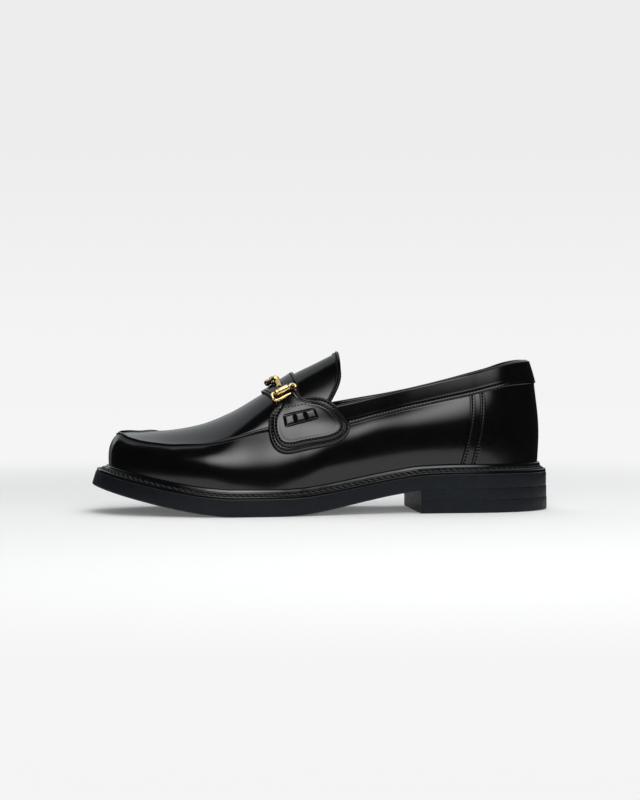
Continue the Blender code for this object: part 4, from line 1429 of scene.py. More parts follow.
@dataclass
class Upper:
    """Side wall, apron, collar band and heel panels."""

    form: Last
    wall: float = 1.6
    columns: int = 420
    strip_edge: float = 56.5
    counter_edge: float = 49.5
    panel_lean: float = 9.0
    panel_step: float = 0.38
    band_step: float = 0.95
    stitch_row: float = 1.9
    panel_row_in: float = 1.95
    panel_under: float = 0.3
    hem_row: float = 2.0
    hem_width: float = 3.95
    hem_stand: float = 0.55
    hem_under: float = 0.9
    tuck_in: float = 2.0
    tuck_down: float = 0.6
    tuck_begins: tuple[float, float] = (150.0, 162.0)
    apron_end: float = 0.9985
    apron_thick: float = 1.5
    apron_sink: float = 0.35
    seam_start: float = 176.0
    seam_width: float = 4.0
    seam_below: float = 1.4
    slot_depth: float = 0.6
    slot_width: float = 0.45
    seam: Thread = Thread(pitch=2.1, length=1.15, width=0.8, proud=0.28)
    whip: Thread = Thread(pitch=2.1, length=1.7, width=0.55, proud=0.4, slant=50.0)
    toe_share: float = -0.973
    toe_slant: float = 0.016
    toe_half: float = 1.7
    toe_round: float = 0.75
    toe_top: float = 0.92
    toe_foot: float = 0.9
    toe_sunk: float = 1.2
    band_end: float = 151.0
    band_thins: tuple[float, float] = (138.0, 147.0)

    def panel_lift(self, share: Array) -> Array:
        """Height of the heel panels over the quarter at signed shares of the seam line."""
        station = self.form.place(share)[..., 0]
        return 2.0 * self.panel_step * (1.0 - soft(self.counter_edge - 16.0, self.strip_edge + 10.0, station))

    def rolled(self, grid: Array, normals: Array, thick: float, out: float, rounds: int = 6) -> Array:
        """Points of a rounded edge from the outside over to the inside.

        Args:
            grid: points of the smooth outside, its last row on the edge.
            normals: directions off it.
            thick: thickness that the edge goes round.
            out: how far the roll stands off the outside and the inside.
            rounds: points on the way over.

        Returns:
            Points as columns by places round the edge.
        """
        off = normals[:, -1]
        ahead = grid[:, -1] - grid[:, -2]
        ahead = unit(ahead - off * np.sum(ahead * off, axis=1)[:, None])
        middle = grid[:, -1] - 0.5 * thick * off
        radius = 0.5 * thick + out
        turns = np.linspace(0.0, math.pi, rounds + 2)[1:-1]
        return np.stack([middle + radius * (off * math.cos(a) + ahead * math.sin(a)) for a in turns], axis=1)

    def quarters(self) -> MeshData:
        """Side wall all round, up to the topline at the back and tucked under the apron in front."""
        share = np.linspace(-1.0, 1.0, self.columns + 1)[:-1]
        station = self.form.place(share)[:, 0]
        low = self.form.wall(share[:, None], np.linspace(0.0, 1.0, 46)[None])
        reach = np.linspace(0.0, 1.0, 13)[None, 1:]
        collar = self.form.band(share[:, None], reach)
        down = np.full((len(share), 1), -self.tuck_down)
        tuck = np.concatenate([self.tuck_in * self.form.inward(share), down], axis=1)
        under = low[:, -1:] + reach[..., None] * tuck[:, None]
        high = collar + (under - collar) * soft(*self.tuck_begins, station)[:, None, None]
        outside = np.concatenate([low, high], axis=1)
        normals = self.form.normals(outside, True)
        inside = (outside - self.wall * normals)[:, ::-2]
        over = self.rolled(outside, normals, self.wall, 0.0)
        loops = np.concatenate([outside, over, inside], axis=1)
        mesh = swept(loops, True)
        edge = outside.shape[1] + over.shape[1]
        size = loops.shape[1]
        mesh.finish_of = [int(k >= edge - 1) for _ in range(len(share)) for k in range(size)]
        return mesh

    def apron_shares(self) -> Array:
        """Columns of the apron from the tongue's edge to the toe."""
        start = self.form.share_at(TONGUE_STATION)
        return start + (self.apron_end - start) * near_edges(190, 0.6)

    def apron(self) -> MeshData:
        """Apron and tongue in one sheet."""
        share = self.apron_shares()
        turn = near_edges(75, 0.35) * 180.0
        grid = self.form.span(share[:, None], turn[None])
        normals = self.form.normals(grid)
        sink = -self.apron_sink * (1.0 - soft(0.0, 2.2, edge_distance(grid, "bt")))
        thin = 0.5 * (1.0 - rounded(edge_distance(grid, "f"), 0.7))
        return slab(grid, normals, thin - self.apron_thick, sink - thin)

    def hem_strip(self, distances: Array) -> tuple[Array, Array]:
        """Strip along the tongue's edge.

        Args:
            distances: distances in from the edge.

        Returns:
            Points as distance by place along the edge, and the directions off the leather.
        """
        start = self.form.share_at(TONGUE_STATION)
        share = start + np.linspace(0.0, 0.05, 40)
        grid = self.form.span(share[:, None], np.linspace(4.0, 176.0, 560)[None])
        sheets = (grid, self.form.normals(grid), edge_distance(grid, "f"))
        turned = [np.swapaxes(sheet, 0, 1) for sheet in sheets]
        lines, ups = zip(*[row_at(*turned, distance) for distance in distances])
        return np.array(lines), np.array(ups)

    def tongue_hem(self) -> MeshData:
        """Sewn hem folded over the tongue's edge."""
        distances = np.concatenate([np.linspace(0.0, 1.0, 6)[:-1], np.linspace(1.0, 3.0, 11),
                                    [3.3, 3.6, 3.8, 3.9]])
        grid, normals = self.hem_strip(distances)
        row, _ = self.hem_strip(np.array([self.hem_row]))
        pits = self.seam.pits(row[0])
        away = distances[:, None]
        stand = (self.hem_stand * rounded(away, 0.6) * rounded(self.hem_width - away, 0.5)
                 + stitched(away, self.hem_row, 0.75, pits[None]))
        return slab(grid, normals, -self.hem_under, stand)

    def tongue_stitches(self, bead: Bead) -> MeshData:
        """Row of stitches along the tongue's hem."""
        line, up = self.hem_strip(np.array([self.hem_row]))
        return self.seam.sew(line[0] + 0.3 * up[0], up[0], bead)

    def seam_shares(self) -> Array:
        """Signed shares of the apron seam round the toe, from saddle to saddle."""
        start = self.form.share_at(self.seam_start)
        run = start + (1.0 - start) * np.linspace(0.0, 1.0, 260)
        return np.concatenate([-run, run[-2::-1]])

    def beside_seam(self, share: Array, places: Array) -> tuple[Array, Array]:
        """Strip of leather along the apron seam.

        Args:
            share: signed shares of its columns.
            places: distances from the seam, below 0 down the wall and above 0 over the apron.

        Returns:
            Points as columns by places, and the directions off the leather.
        """
        down = self.form.wall(share[:, None], np.linspace(0.6, 1.0, 60)[None])
        over = self.form.arch(share[:, None], np.linspace(0.0, 25.0, 40)[None, 1:])
        lines = np.concatenate([down, over], axis=1)
        strip = np.array([even_points(line, line_length(wall)[-1] + spots)
                          for line, wall, spots in zip(lines, down, places)])
        return strip, self.form.normals(strip)

    def moc_seam(self) -> MeshData:
        """Seam between the wall and the apron: a slot with a low roll above it."""
        share = self.seam_shares()
        station = self.form.place(share)[:, 0]
        inner = np.where(share > 0.0, 0.2 * soft(0.0, 0.06, 1.0 - share), 0.0)
        height = (self.form.ridge(station) * (1.0 - inner))[:, None]
        part = np.linspace(0.0, 1.0, 31)[None]
        away = self.seam_width * part - self.seam_below
        rise = (height * hump(away, 1.1, 0.75) - self.slot_depth * hump(away, 0.0, self.slot_width)
                + 0.12 * hump(away, -0.95, self.slot_width) - 0.4 * np.abs(2.0 * part - 1.0) ** 6 + 0.05)
        grid, normals = self.beside_seam(share, away - SEAM_SLOT(station)[:, None])
        under = (grid - 1.3 * normals)[:, 24:5:-6]
        return swept(np.concatenate([grid + normals * rise[..., None], under], axis=1), False)

    def moc_stitches(self, bead: Bead) -> MeshData:
        """Slanted stitches along the slot of the seam."""
        share = self.seam_shares()
        slot = SEAM_SLOT(self.form.place(share)[:, 0])
        strip, normals = self.beside_seam(share, np.array([[-0.3, 0.0, 0.3]]) - slot[:, None])
        outward = np.concatenate([-self.form.inward(share), np.zeros((len(share), 1))], axis=1)
        return self.whip.sew(strip[:, 1] - 0.05 * normals[:, 1], unit(normals[:, 1] + 0.5 * outward), bead)

    def toe_seam(self) -> MeshData:
        """Raised seam down the middle of the toe."""
        height = np.linspace(0.06, 1.0, 60)
        share = self.toe_share + self.toe_slant * height ** 4
        line = self.form.wall(share, height)
        ahead = unit(np.gradient(line, axis=0))
        beside = unit(self.form.wall(share + 0.01, height) - line)
        facing = unit(np.cross(ahead, beside))
        facing *= np.where(facing[:, :1] < 0.0, -1.0, 1.0)
        aside = unit(np.cross(facing, ahead))
        stand = 1.0 - soft(self.toe_top, 1.0, height)
        loops = []
        for place in np.linspace(-self.toe_half, self.toe_half, 17):
            lift = stand * hump(place, 0.0, self.toe_round) - 0.4 * (abs(place) / self.toe_half) ** 4
            loops.append(line + aside * place + facing * lift[:, None])
        loops.append(line + aside * self.toe_foot - facing * self.toe_sunk)
        loops.append(line - aside * self.toe_foot - facing * self.toe_sunk)
        return swept(np.stack(loops, axis=1), False)

    def band_grid(self) -> tuple[Array, Array, Array]:
        """Collar band behind the saddle: shares of its columns, its smooth grid and directions off it."""
        end = self.form.share_at(self.band_end)
        share = np.linspace(-end, end, 760)
        grid = self.form.band(share[:, None], near_edges(30, 0.8)[None])
        return share, grid, self.form.normals(grid)

    def band_lift(self, share: Array) -> Array:
        """Height of the band over the quarter, less where the saddle covers it."""
        station = self.form.place(share)[..., 0]
        return (self.band_step + self.panel_lift(share)) * (1.0 - 0.75 * soft(*self.band_thins, station))

    def collar_band(self) -> MeshData:
        """Band folded over the topline, with its lower edge sewn down."""
        share, grid, normals = self.band_grid()
        away = edge_distance(grid, "b")
        line, _ = row_at(grid, normals, away, self.stitch_row)
        pits = self.seam.pits(line)[:, None]
        stand = self.band_lift(share)[:, None] * rounded(away, 0.6)
        stand = stand + stitched(away, self.stitch_row, 0.36, pits)
        outside = grid + normals * stand[..., None]
        over = self.rolled(grid, normals, self.wall, self.band_step, 9)
        facing = (grid - normals * (self.wall + 0.5))[:, :6:-2]
        facing[:, -1] += 0.4 * normals[:, 8]
        back = (grid - normals * 0.8)[:, 8:1:-3]
        return swept(np.concatenate([outside, over, facing, back], axis=1), False)

    def band_stitches(self, bead: Bead) -> MeshData:
        """Row of stitches above the band's lower edge."""
        share, grid, normals = self.band_grid()
        line, up = row_at(grid, normals, edge_distance(grid, "b"), self.stitch_row)
        return self.seam.sew(line + up * (self.band_lift(share) - 0.28)[:, None], up, bead)

    def leaned(self, station: float, height: Array) -> Array:
        """Share of a slanted heel edge at heights on the wall, seam at 1."""
        return self.form.share_at(station) + self.panel_lean * (1.0 - height) ** 1.8 / self.form.outer_length

    def panel(self, grid: Array, side: Side, station: float, edges: str, under: float) -> MeshData:
        """Heel panel sewn down along its slanted edge.

        Args:
            grid: points of the wall that it covers, as columns by heights.
            side: side of the foot whose stitches it follows.
            station: place of the edge at the seam.
            edges: letters of its sewn edges, as edge_distance has them.
            under: height of the panel below it.

        Returns:
            The mesh of the panel.
        """
        normals = self.form.normals(grid)
        away = edge_distance(grid, edges)
        pits = self.seam.pits(self.panel_row(side, station)[0])[None]
        lift = (under + (self.panel_step + 0.1) * rounded(away, 0.5)
                + stitched(away, self.panel_row_in, 0.3, pits))
        return slab(grid, normals, -self.panel_under, lift)

    def heel_strip(self, side: Side) -> MeshData:
        """Strip of leather between the quarter and the counter."""
        front = self.leaned(self.strip_edge, PANEL_HEIGHTS)
        rear = self.leaned(self.counter_edge - 6.0, PANEL_HEIGHTS)
        part = np.concatenate([np.linspace(0.0, 0.2, 14)[:-1], np.linspace(0.2, 1.0, 26)])
        share = front[None] + (rear - front)[None] * part[:, None]
        grid = self.form.wall(side.value * share, PANEL_HEIGHTS[None])
        return self.panel(grid, side, self.strip_edge, "f", 0.0)

    def heel_counter(self) -> MeshData:
        """Counter round the back of the heel."""
        edge = self.leaned(self.counter_edge, PANEL_HEIGHTS)
        fine = np.linspace(0.0, 0.08, 18)[:-1]
        part = np.concatenate([-1.0 + fine, np.linspace(-0.92, 0.92, 70), 1.0 - fine[::-1]])
        grid = self.form.wall(part[:, None] * edge[None], PANEL_HEIGHTS[None])
        return self.panel(grid, Side.OUTER, self.counter_edge, "fl", self.panel_step)

    def panel_row(self, side: Side, station: float) -> tuple[Array, Array]:
        """Stitch row behind one slanted edge.

        Args:
            side: side of the foot.
            station: place of the edge at the seam.

        Returns:
            Points of the row on the smooth form, and the directions off it.
        """
        share = self.leaned(station - self.panel_row_in, PANEL_HEIGHTS)
        line = self.form.wall(side.value * share, PANEL_HEIGHTS)
        beside = self.form.wall(side.value * (share + SHARE_STEP), PANEL_HEIGHTS)
        up = unit(np.cross(np.gradient(line, axis=0), beside - line))
        return line, up * np.where(up[:, 1:2] * side.value < 0.0, -1.0, 1.0)

    def panel_stitches(self, station: float, layers: int, bead: Bead) -> MeshData:
        """Stitches behind one slanted edge on both sides.

        Args:
            station: place of the edge at the seam.
            layers: panels under the row.
            bead: shape of one stitch.

        Returns:
            The mesh of both rows.
        """
        rows = []
        for side in Side:
            line, up = self.panel_row(side, station)
            rows.append(self.seam.sew(line + up * (layers * self.panel_step - 0.15), up, bead))
        return together(rows)

    def build(self, bench: Bench, finishes: Finishes, bead: Bead) -> bpy.types.Object:
        """Make the pieces of the upper.

        Args:
            bench: where meshes become pieces.
            finishes: materials of the shoe.
            bead: shape of one stitch.

        Returns:
            The seam at the toe.
        """
        calf = [finishes.calf]
        bench.piece("quarters", self.quarters(), [finishes.calf, finishes.lining], Slot.UPPER, ["upper"])
        bench.piece("apron_tongue", self.apron(), calf, Slot.UPPER)
        bench.piece("tongue_hem", self.tongue_hem(), calf, Slot.UPPER)
        bench.piece("apron_seam", self.moc_seam(), calf, Slot.UPPER)
        # The toe seam gets the lighter calf, a painted highlight on its ridge.
        toe = bench.piece("toe_seam", self.toe_seam(), [finishes.toe_painted_highlight], Slot.UPPER)
        bench.piece("collar_band", self.collar_band(), calf, Slot.UPPER)
        for side in Side:
            bench.piece("heel_strip_" + side.name.lower(), self.heel_strip(side), calf, Slot.UPPER)
        bench.piece("heel_counter", self.heel_counter(), calf, Slot.UPPER)
        thread = [finishes.thread]
        bench.piece("tongue_stitches", self.tongue_stitches(bead), thread, Slot.UPPER)
        bench.piece("apron_stitches", self.moc_stitches(bead), thread, Slot.UPPER)
        # These stitches use the lighter thread, a painted highlight on the band's row.
        bench.piece("band_stitches", self.band_stitches(bead), [finishes.band_thread_painted_highlight], Slot.UPPER)
        bench.piece("strip_stitches", self.panel_stitches(self.strip_edge, 1, bead), thread, Slot.UPPER)
        bench.piece("counter_stitches", self.panel_stitches(self.counter_edge, 2, bead), thread, Slot.UPPER)
        return toe


BASE_TAB = [
    (181.5, 67.6), (185.2, 64.0), (187.6, 59.5), (188.1, 54.0), (187.4, 47.8), (185.4, 43.2), (181.6, 40.0),
    (176.4, 39.0), (168.3, 40.3), (155.5, 42.8), (144.9, 45.5), (138.9, 49.1), (136.1, 53.6), (136.0, 57.0),
    (139.4, 63.0), (144.6, 69.0), (150.8, 73.2), (157.5, 74.5), (165.5, 73.9), (173.5, 71.8),
]
UPPER_TAB = [
    (180.7, 76.4), (179.2, 70.8), (181.4, 66.0), (184.4, 61.0), (185.4, 55.6), (184.6, 48.8), (180.8, 43.4),
    (176.0, 42.2), (167.0, 43.6), (155.5, 45.6), (146.0, 48.0), (141.4, 51.0), (139.7, 55.0), (142.6, 60.9),
    (147.4, 67.0), (153.4, 70.5), (160.2, 71.8), (166.4, 73.6), (170.6, 79.2), (176.0, 79.2),
]
RING_DEPTHS = [0.0, 0.1, 0.25, 0.45, 0.7, 1.0, 1.3, 1.55, 1.75, 1.9, 2.05, 2.25, 2.55, 2.9]
RING_SHARES = [0.93, 0.83, 0.7, 0.55, 0.4, 0.25, 0.12, 0.04]
AXIS_DROP = 24.0
RUNG_TOPS = [(178.2, 61.6), (171.6, 63.5), (165.2, 64.9), (158.4, 66.6)]
RUNG_FEET = [(177.5, 54.6), (170.4, 56.8), (163.4, 58.6), (156.2, 60.7)]


class TabLayer(NamedTuple):
    """One layer of a tab: its outline from the side and how it lies over the instep."""

    word: str
    node: str
    outline: list[tuple[float, float]]
    centre: tuple[float, float]
    base: float
    thick: float
    row_cut: tuple[tuple[float, float], tuple[float, float]]
    neck_rise: float


@dataclass
class Saddle:
    """Strap over the vamp and a two-layer tab on each side."""

    form: Last
    instep: Instep
    lift: float = 0.45
    strap_thick: float = 1.4
    base_thick: float = 1.5
    tab_thick: float = 1.3
    spokes: int = 440
    stitch_row: float = 1.9
    top_rear: float = 168.2
    top_front: float = 188.6
    end_rear: tuple[float, float] = (166.2, 75.8)
    end_front: tuple[float, float] = (182.4, 68.8)
    strap_row: float = 2.2
    pad_stand: float = 0.85
    pad_round: float = 1.9
    strap_middle: float = 178.0
    neck: tuple[float, float] = (71.5, 76.0)
    seam: Thread = Thread(pitch=2.1, length=1.15, width=0.85, proud=0.28)

    def __post_init__(self) -> None:
        """Drape leather over both sides of the instep."""
        self.flanks = {side: Flank(self.instep, side) for side in Side}

    def layers(self) -> list[TabLayer]:
        """Both layers of a tab, the lower one first."""
        second = self.lift + self.base_thick + self.lift
        return [
            TabLayer("base_tab", "saddle_base", BASE_TAB, (163.0, 57.0), self.lift, self.base_thick,
                     ((183.0, 90.0), (130.0, 90.0)), 0.0),
            TabLayer("upper_tab", "saddle_tab", UPPER_TAB, (165.0, 59.0), second, self.tab_thick,
                     ((184.0, 64.8), (158.5, 70.2)), 1.2),
        ]

    def rings(self, layer: TabLayer) -> tuple[Array, Array]:
        """Rings of a tab from its edge to its middle.

        Args:
            layer: layer of the tab.

        Returns:
            Rings as ring by spoke, and the distance of each ring from the edge.
        """
        loop = closed_spline(layer.outline, 24)
        looped = np.vstack([loop, loop[:1]])
        marks = np.linspace(0.0, line_length(looped)[-1], self.spokes + 1)[:-1]
        rim = even_points(looped, marks)
        ahead = unit(np.roll(rim, -1, axis=0) - np.roll(rim, 1, axis=0))
        inward = np.stack([-ahead[:, 1], ahead[:, 0]], axis=1)
        middle = np.array(layer.centre)
        if np.sum(inward * (middle - rim)) < 0.0:
            inward = -inward
        found = [rim + inward * depth for depth in RING_DEPTHS]
        last = found[-1]
        found += [middle + (last - middle) * share for share in RING_SHARES]
        return np.stack(found), np.concatenate([RING_DEPTHS, 3.0 + 10.0 * (1.0 - np.array(RING_SHARES))])

    def row(self, layer: TabLayer, rings: Array, away: Array) -> tuple[Array, Array]:
        """Stitch row of a tab, closed straight across its neck.

        Args:
            layer: layer of the tab.
            rings: its rings.
            away: distance of each ring from the edge.

        Returns:
            The row from the side as a closed line, and the nearness of each spoke to a stitch.
        """
        ring = rings[int(np.argmin(np.abs(away - self.stitch_row)))]
        (front, front_z), (rear, rear_z) = layer.row_cut
        limit = front_z + (rear_z - front_z) * (ring[:, 0] - front) / (rear - front)
        gone = (ring[:, 1] > limit) & (ring[:, 0] > rear)
        order = np.roll(np.arange(len(ring)), -int(np.argmax(gone & ~np.roll(gone, 1))))
        kept = order[~gone[order]]
        line = np.vstack([ring[kept], ring[kept[:1]]])
        pits = np.zeros(len(ring))
        pits[kept] = self.seam.pits(line)[:-1]
        return line, pits

    def stand(self, layer: TabLayer, spots: Array) -> Array:
        """Height of a layer's plain top over the instep, more where its neck climbs over the ring."""
        return layer.base + layer.thick + layer.neck_rise * soft(*self.neck, spots[..., 1])

    def tab(self, side: Side, layer: TabLayer) -> MeshData:
        """Closed tab laid on one side of the instep, sewn round its edge.

        Args:
            side: side of the foot.
            layer: layer of the tab.

        Returns:
            The mesh of the tab.
        """
        rings, away = self.rings(layer)
        _, pits = self.row(layer, rings, away)
        grid, normals = self.flanks[side].laid(rings)
        stand = self.stand(layer, rings) - layer.thick * (1.0 - rounded(away, 0.75))[:, None]
        stand = stand + stitched(away[:, None], self.stitch_row, 0.5, pits[None])
        top = grid + normals * stand[..., None]
        under = (grid + normals * (layer.base - 0.2))[[-1, 12, 0]]
        loops = np.concatenate([under, top], axis=0)
        size, spokes = loops.shape[:2]
        faces = grid_faces(size, spokes, False, True)
        faces.append(tuple(range(spokes)))
        faces.append(tuple((size - 1) * spokes + k for k in range(spokes - 1, -1, -1)))
        return MeshData(loops.reshape(-1, 3), faces)

    def tab_stitches(self, side: Side, layer: TabLayer, bead: Bead) -> MeshData:
        """Stitches round a tab.

        Args:
            side: side of the foot.
            layer: layer of the tab.
            bead: shape of one stitch.

        Returns:
            The mesh of the row.
        """
        rings, away = self.rings(layer)
        line, _ = self.row(layer, rings, away)
        length = line_length(line)
        marks = np.linspace(0.0, length[-1], 500)
        line = even_points(line, marks)
        sunk = 0.3 * (1.0 - soft(length[-2], length[-2] + 0.5, marks))
        grid, up = self.flanks[side].laid(line)
        return self.seam.sew(grid + up * (self.stand(layer, line) - sunk)[:, None], up, bead)

    def pads(self, side: Side, layer: TabLayer) -> MeshData:
        """Three raised pads in a row on the upper tab.

        Args:
            side: side of the foot.
            layer: layer of the tab.

        Returns:
            One mesh of all three.
        """
        s = 0.06 + 0.88 * near_edges(22, 0.6)[:, None, None]
        t = 0.05 + 0.90 * near_edges(22, 0.6)[None, :, None]
        tops, feet = np.array(RUNG_TOPS), np.array(RUNG_FEET)
        made = []
        for k in range(len(tops) - 1):
            flat = (tops[k] * (1 - s) + tops[k + 1] * s) * (1 - t) + (feet[k] * (1 - s) + feet[k + 1] * s) * t
            grid, normals = self.flanks[side].laid(flat)
            top = self.stand(layer, flat)
            stand = top - 0.25 + self.pad_stand * rounded(edge_distance(grid, "flbt"), self.pad_round)
            made.append(slab(grid, normals, top - 0.6, stand))
        return together(made)

    def rails(self, side: Side, layer: TabLayer) -> MeshData:
        """Black thread cords that frame the pads, two rails and the rungs between them, also standing as
        painted shade for the grooves round the pads.

        Args:
            side: side of the foot.
            layer: layer of the tab.

        Returns:
            One mesh of all the cords.
        """
        tops, feet = np.array(RUNG_TOPS), np.array(RUNG_FEET)
        lines = [tops + [0.0, 0.25], feet - [0.0, 0.25]] + [np.stack(ends) for ends in zip(tops, feet)]
        made = []
        for knots in lines:
            flat = even_points(knots, np.linspace(0.0, line_length(knots)[-1], 26))
            grid, up = self.flanks[side].laid(flat)
            ends = np.linspace(-1.0, 1.0, len(flat))
            radii = 0.12 + 0.4 * np.sqrt(1.0 - np.abs(ends) ** 6)
            made.append(bar(grid + up * (self.stand(layer, flat) + 0.02)[:, None], radii, False, 10))
        return together(made)

    def strap_grid(self, across: Array) -> tuple[Array, Array]:
        """Places of the strap on the instep.

        Args:
            across: places over its width, 0 at the rear edge and 1 at the front.

        Returns:
            Points and the directions off the instep.
        """
        axis = float(self.form.crest_z(self.strap_middle)) - AXIS_DROP
        rear, front = np.array(self.end_rear), np.array(self.end_front)
        columns = []
        for turn in np.linspace(-1.0, 1.0, 61):
            side = Side.OUTER if turn < 0.0 else Side.INNER
            part = abs(turn)
            ends = self.instep.from_side(side, rear + (front - rear) * across[:, None])
            row = []
            for q, end in zip(across, ends):
                top = self.top_rear + (self.top_front - self.top_rear) * q
                place = top + (end[0] - top) * part ** 1.8
                angle = side.value * part * self.instep.swing(end, axis)
                row.append(self.instep.from_axis(place, axis, angle))
            columns.append(row)
        grid = np.array(columns)
        return grid, self.instep.facing(grid)

    def strap(self) -> MeshData:
        """Strap across the vamp with a sewn line along each edge."""
        grid, normals = self.strap_grid(near_edges(41, 0.85))
        away = edge_distance(grid, "bt")
        stand = self.lift + self.strap_thick * rounded(away, 0.6) + stitched(away, self.strap_row, 0.35)
        return slab(grid, normals, self.lift - 0.3, stand)

    def strap_stitches(self, bead: Bead) -> MeshData:
        """Row of stitches along both edges of the strap."""
        grid, normals = self.strap_grid(np.linspace(0.0, 1.0, 31))
        rows = []
        for sides in ("b", "t"):
            line, up = row_at(grid, normals, edge_distance(grid, sides), self.strap_row)
            rows.append(self.seam.sew(line + up * (self.lift + self.strap_thick - 0.12), up, bead))
        return together(rows)

    def build(self, bench: Bench, finishes: Finishes, bead: Bead) -> None:
        """Make the strap, the tabs, their pads and stitches.

        Args:
            bench: where meshes become pieces.
            finishes: materials of the shoe.
            bead: shape of one stitch.
        """
        calf, thread = [finishes.saddle], [finishes.thread]
        bench.piece("strap", self.strap(), calf, Slot.UPPER, ["saddle_strap"])
        bench.piece("strap_stitches", self.strap_stitches(bead), thread, Slot.UPPER)
        layers = self.layers()
        for side in Side:
            word = "_" + side.name.lower()
            for layer in layers:
                bench.piece(layer.word + word, self.tab(side, layer), calf, Slot.UPPER, [layer.node + word])
                row = self.tab_stitches(side, layer, bead)
                bench.piece(layer.word + "_stitches" + word, row, thread, Slot.UPPER)
            bench.piece("tab_pads" + word, self.pads(side, layers[-1]), calf, Slot.UPPER)
            # The rails are black thread cords that also paint the shade of the grooves round the pads.
            bench.piece("tab_rails" + word, self.rails(side, layers[-1]), thread, Slot.UPPER)


@dataclass
class Bit:
    """Gold bit: a ring with a barrel on each side and a knuckled link over the vamp."""

    form: Last
    instep: Instep
    middle: tuple[float, float] = (175.7, 74.9)
    slope: float = 27.0
    length: float = 15.6
    depth: float = 4.6
    wire: float = 1.1
    barrel: float = 2.3
    knuckle: float = 2.9
    joint: float = 2.3
    link_wire: float = 1.6
    barrel_half: float = 4.5
    knuckle_angle: float = 18.0
    knuckle_spread: float = 6.0
    joint_spread: float = 5.0
    collar_angle: float = 25.6
    girth: float = 26.0
    link_rise: float = 2.1
    clear: float = Saddle.lift + Saddle.strap_thick + GAP
    bow: float = 5.0
    bow_spread: float = 14.0
    sunk: float = 1.7

    def frame(self, side: Side) -> tuple[Array, Array, Array]:
        """Where one ring lies.

        Args:
            side: side of the foot.

        Returns:
            Its middle, its direction along the vamp's slope and its direction up the girth.
        """
        spot = self.instep.from_side(side, np.array(self.middle))
        normal = self.instep.facing(spot)
        slope = math.radians(self.slope)
        along = np.array([-math.cos(slope), 0.0, math.sin(slope)])
        along = unit(along - normal * np.dot(along, normal))
        up = np.cross(normal, along)
        if up[2] < 0.0:
            up = -up
        return spot + normal * (self.clear + self.barrel), along, up

    def ring(self, side: Side) -> MeshData:
        """Ring of wire that swells into a barrel above and curls round the neck of the tab.

        Args:
            side: side of the foot.

        Returns:
            The mesh of the ring.
        """
        middle, along, up = self.frame(side)
        half, drop = 0.5 * self.length, 0.5 * self.depth
        right = [(4.0, drop), (5.2, drop + 0.2), (6.6, drop + 0.8), (half, drop - 0.3),
                 (half - 0.2, -0.6 * drop), (half - 2.0, -drop)]
        left = [(-x, y) for x, y in reversed(right)]
        flat = closed_spline([(0.0, drop), *right, (0.0, -drop), *left], 14)
        off = np.cross(along, up)
        off = off if off[1] * side.value > 0.0 else -off
        sink = self.sunk * (1.0 - soft(-drop, 0.0, flat[:, 1]))
        line = middle + along * flat[:, :1] + up * flat[:, 1:] - off * sink[:, None]
        reach = np.abs(flat[:, 0])
        above = soft(0.0, 0.5, flat[:, 1])
        swell = (1.0 - soft(self.barrel_half - 0.2, self.barrel_half + 0.2, reach)) * above
        collar = hump(reach, self.barrel_half, 0.45) * above
        radii = self.wire + (self.barrel - self.wire) * swell * (1.0 - 0.012 * reach ** 2) + 0.35 * collar
        return bar(line, radii, True)

    def link(self) -> MeshData:
        """Link between the rings: stems that flare at the barrels, and two knuckles over the vamp."""
        axis = float(self.form.crest_z(self.middle[0])) - AXIS_DROP
        starts, limit = {}, {}
        for side in Side:
            middle, _, up = self.frame(side)
            starts[side] = middle + up * 0.5 * self.depth
            limit[side] = self.instep.swing(starts[side], axis)
        place = 0.5 * (starts[Side.OUTER][0] + starts[Side.INNER][0])
        close = math.degrees((self.barrel - 0.3) / self.girth)
        angles = np.linspace(close - limit[Side.OUTER], limit[Side.INNER] - close, 161)
        ends = np.where(angles < 0.0, limit[Side.OUTER], limit[Side.INNER])
        shift = self.bow * hump(angles, 0.0, self.bow_spread)
        spots = np.array([self.instep.from_axis(place + s, axis, a) for a, s in zip(angles, shift)])
        line = spots + self.instep.facing(spots) * (self.clear + self.link_rise)
        away = np.abs(np.abs(angles) - self.knuckle_angle)
        ball = self.knuckle * np.sqrt(np.maximum(0.0, 1.0 - (away / self.knuckle_spread) ** 2))
        joint = self.joint * np.sqrt(np.maximum(0.0, 1.0 - (angles / self.joint_spread) ** 2))
        collar = hump(np.abs(angles), self.collar_angle, 1.3)
        flare = soft(0.75, 0.97, np.abs(angles) / ends)
        radii = np.maximum(self.link_wire, np.maximum(ball, joint)) + 0.5 * collar + 0.5 * flare
        return bar(line, radii, False)

    def build(self, bench: Bench, finishes: Finishes) -> list[bpy.types.Object]:
        """Make the rings and the link.

        Args:
            bench: where meshes become pieces.
            finishes: materials of the shoe.

        Returns:
            The gilded pieces.
        """
        gilt = [finishes.gilt]
        made = [bench.piece("link", self.link(), gilt, Slot.METAL, ["bit_link"])]
        for side in Side:
            word = side.name.lower()
            made.append(bench.piece("ring_" + word, self.ring(side), gilt, Slot.METAL, ["bit_ring_" + word]))
        return made


class Lamp(NamedTuple):
    """Rectangular soft light that faces the shoe."""

    name: str
    place: tuple[float, float, float]
    size: tuple[float, float]
    power: float
    tone: Colour = WHITE
    mirrored: bool = True


LAMPS = [
    Lamp("key", (0.0, -0.85, 0.92), (1.3, 1.1), 23.0),
    Lamp("rear", (0.0, 1.9, 1.75), (4.0, 3.4), 25.0, (0.93, 0.98, 1.0)),
    Lamp("toe_glint", (-1.0, -0.45, 0.5), (0.6, 0.6), 9.0),
    Lamp("jewel", (0.0, -0.3, 1.2), (1.2, 1.2), 9.0),
    Lamp("fill_low", (0.2, -1.4, 0.35), (1.6, 0.6), 9.0, mirrored=False),
    Lamp("fill", (0.35, 0.1, 1.6), (2.0, 1.6), 14.5, mirrored=False),
]


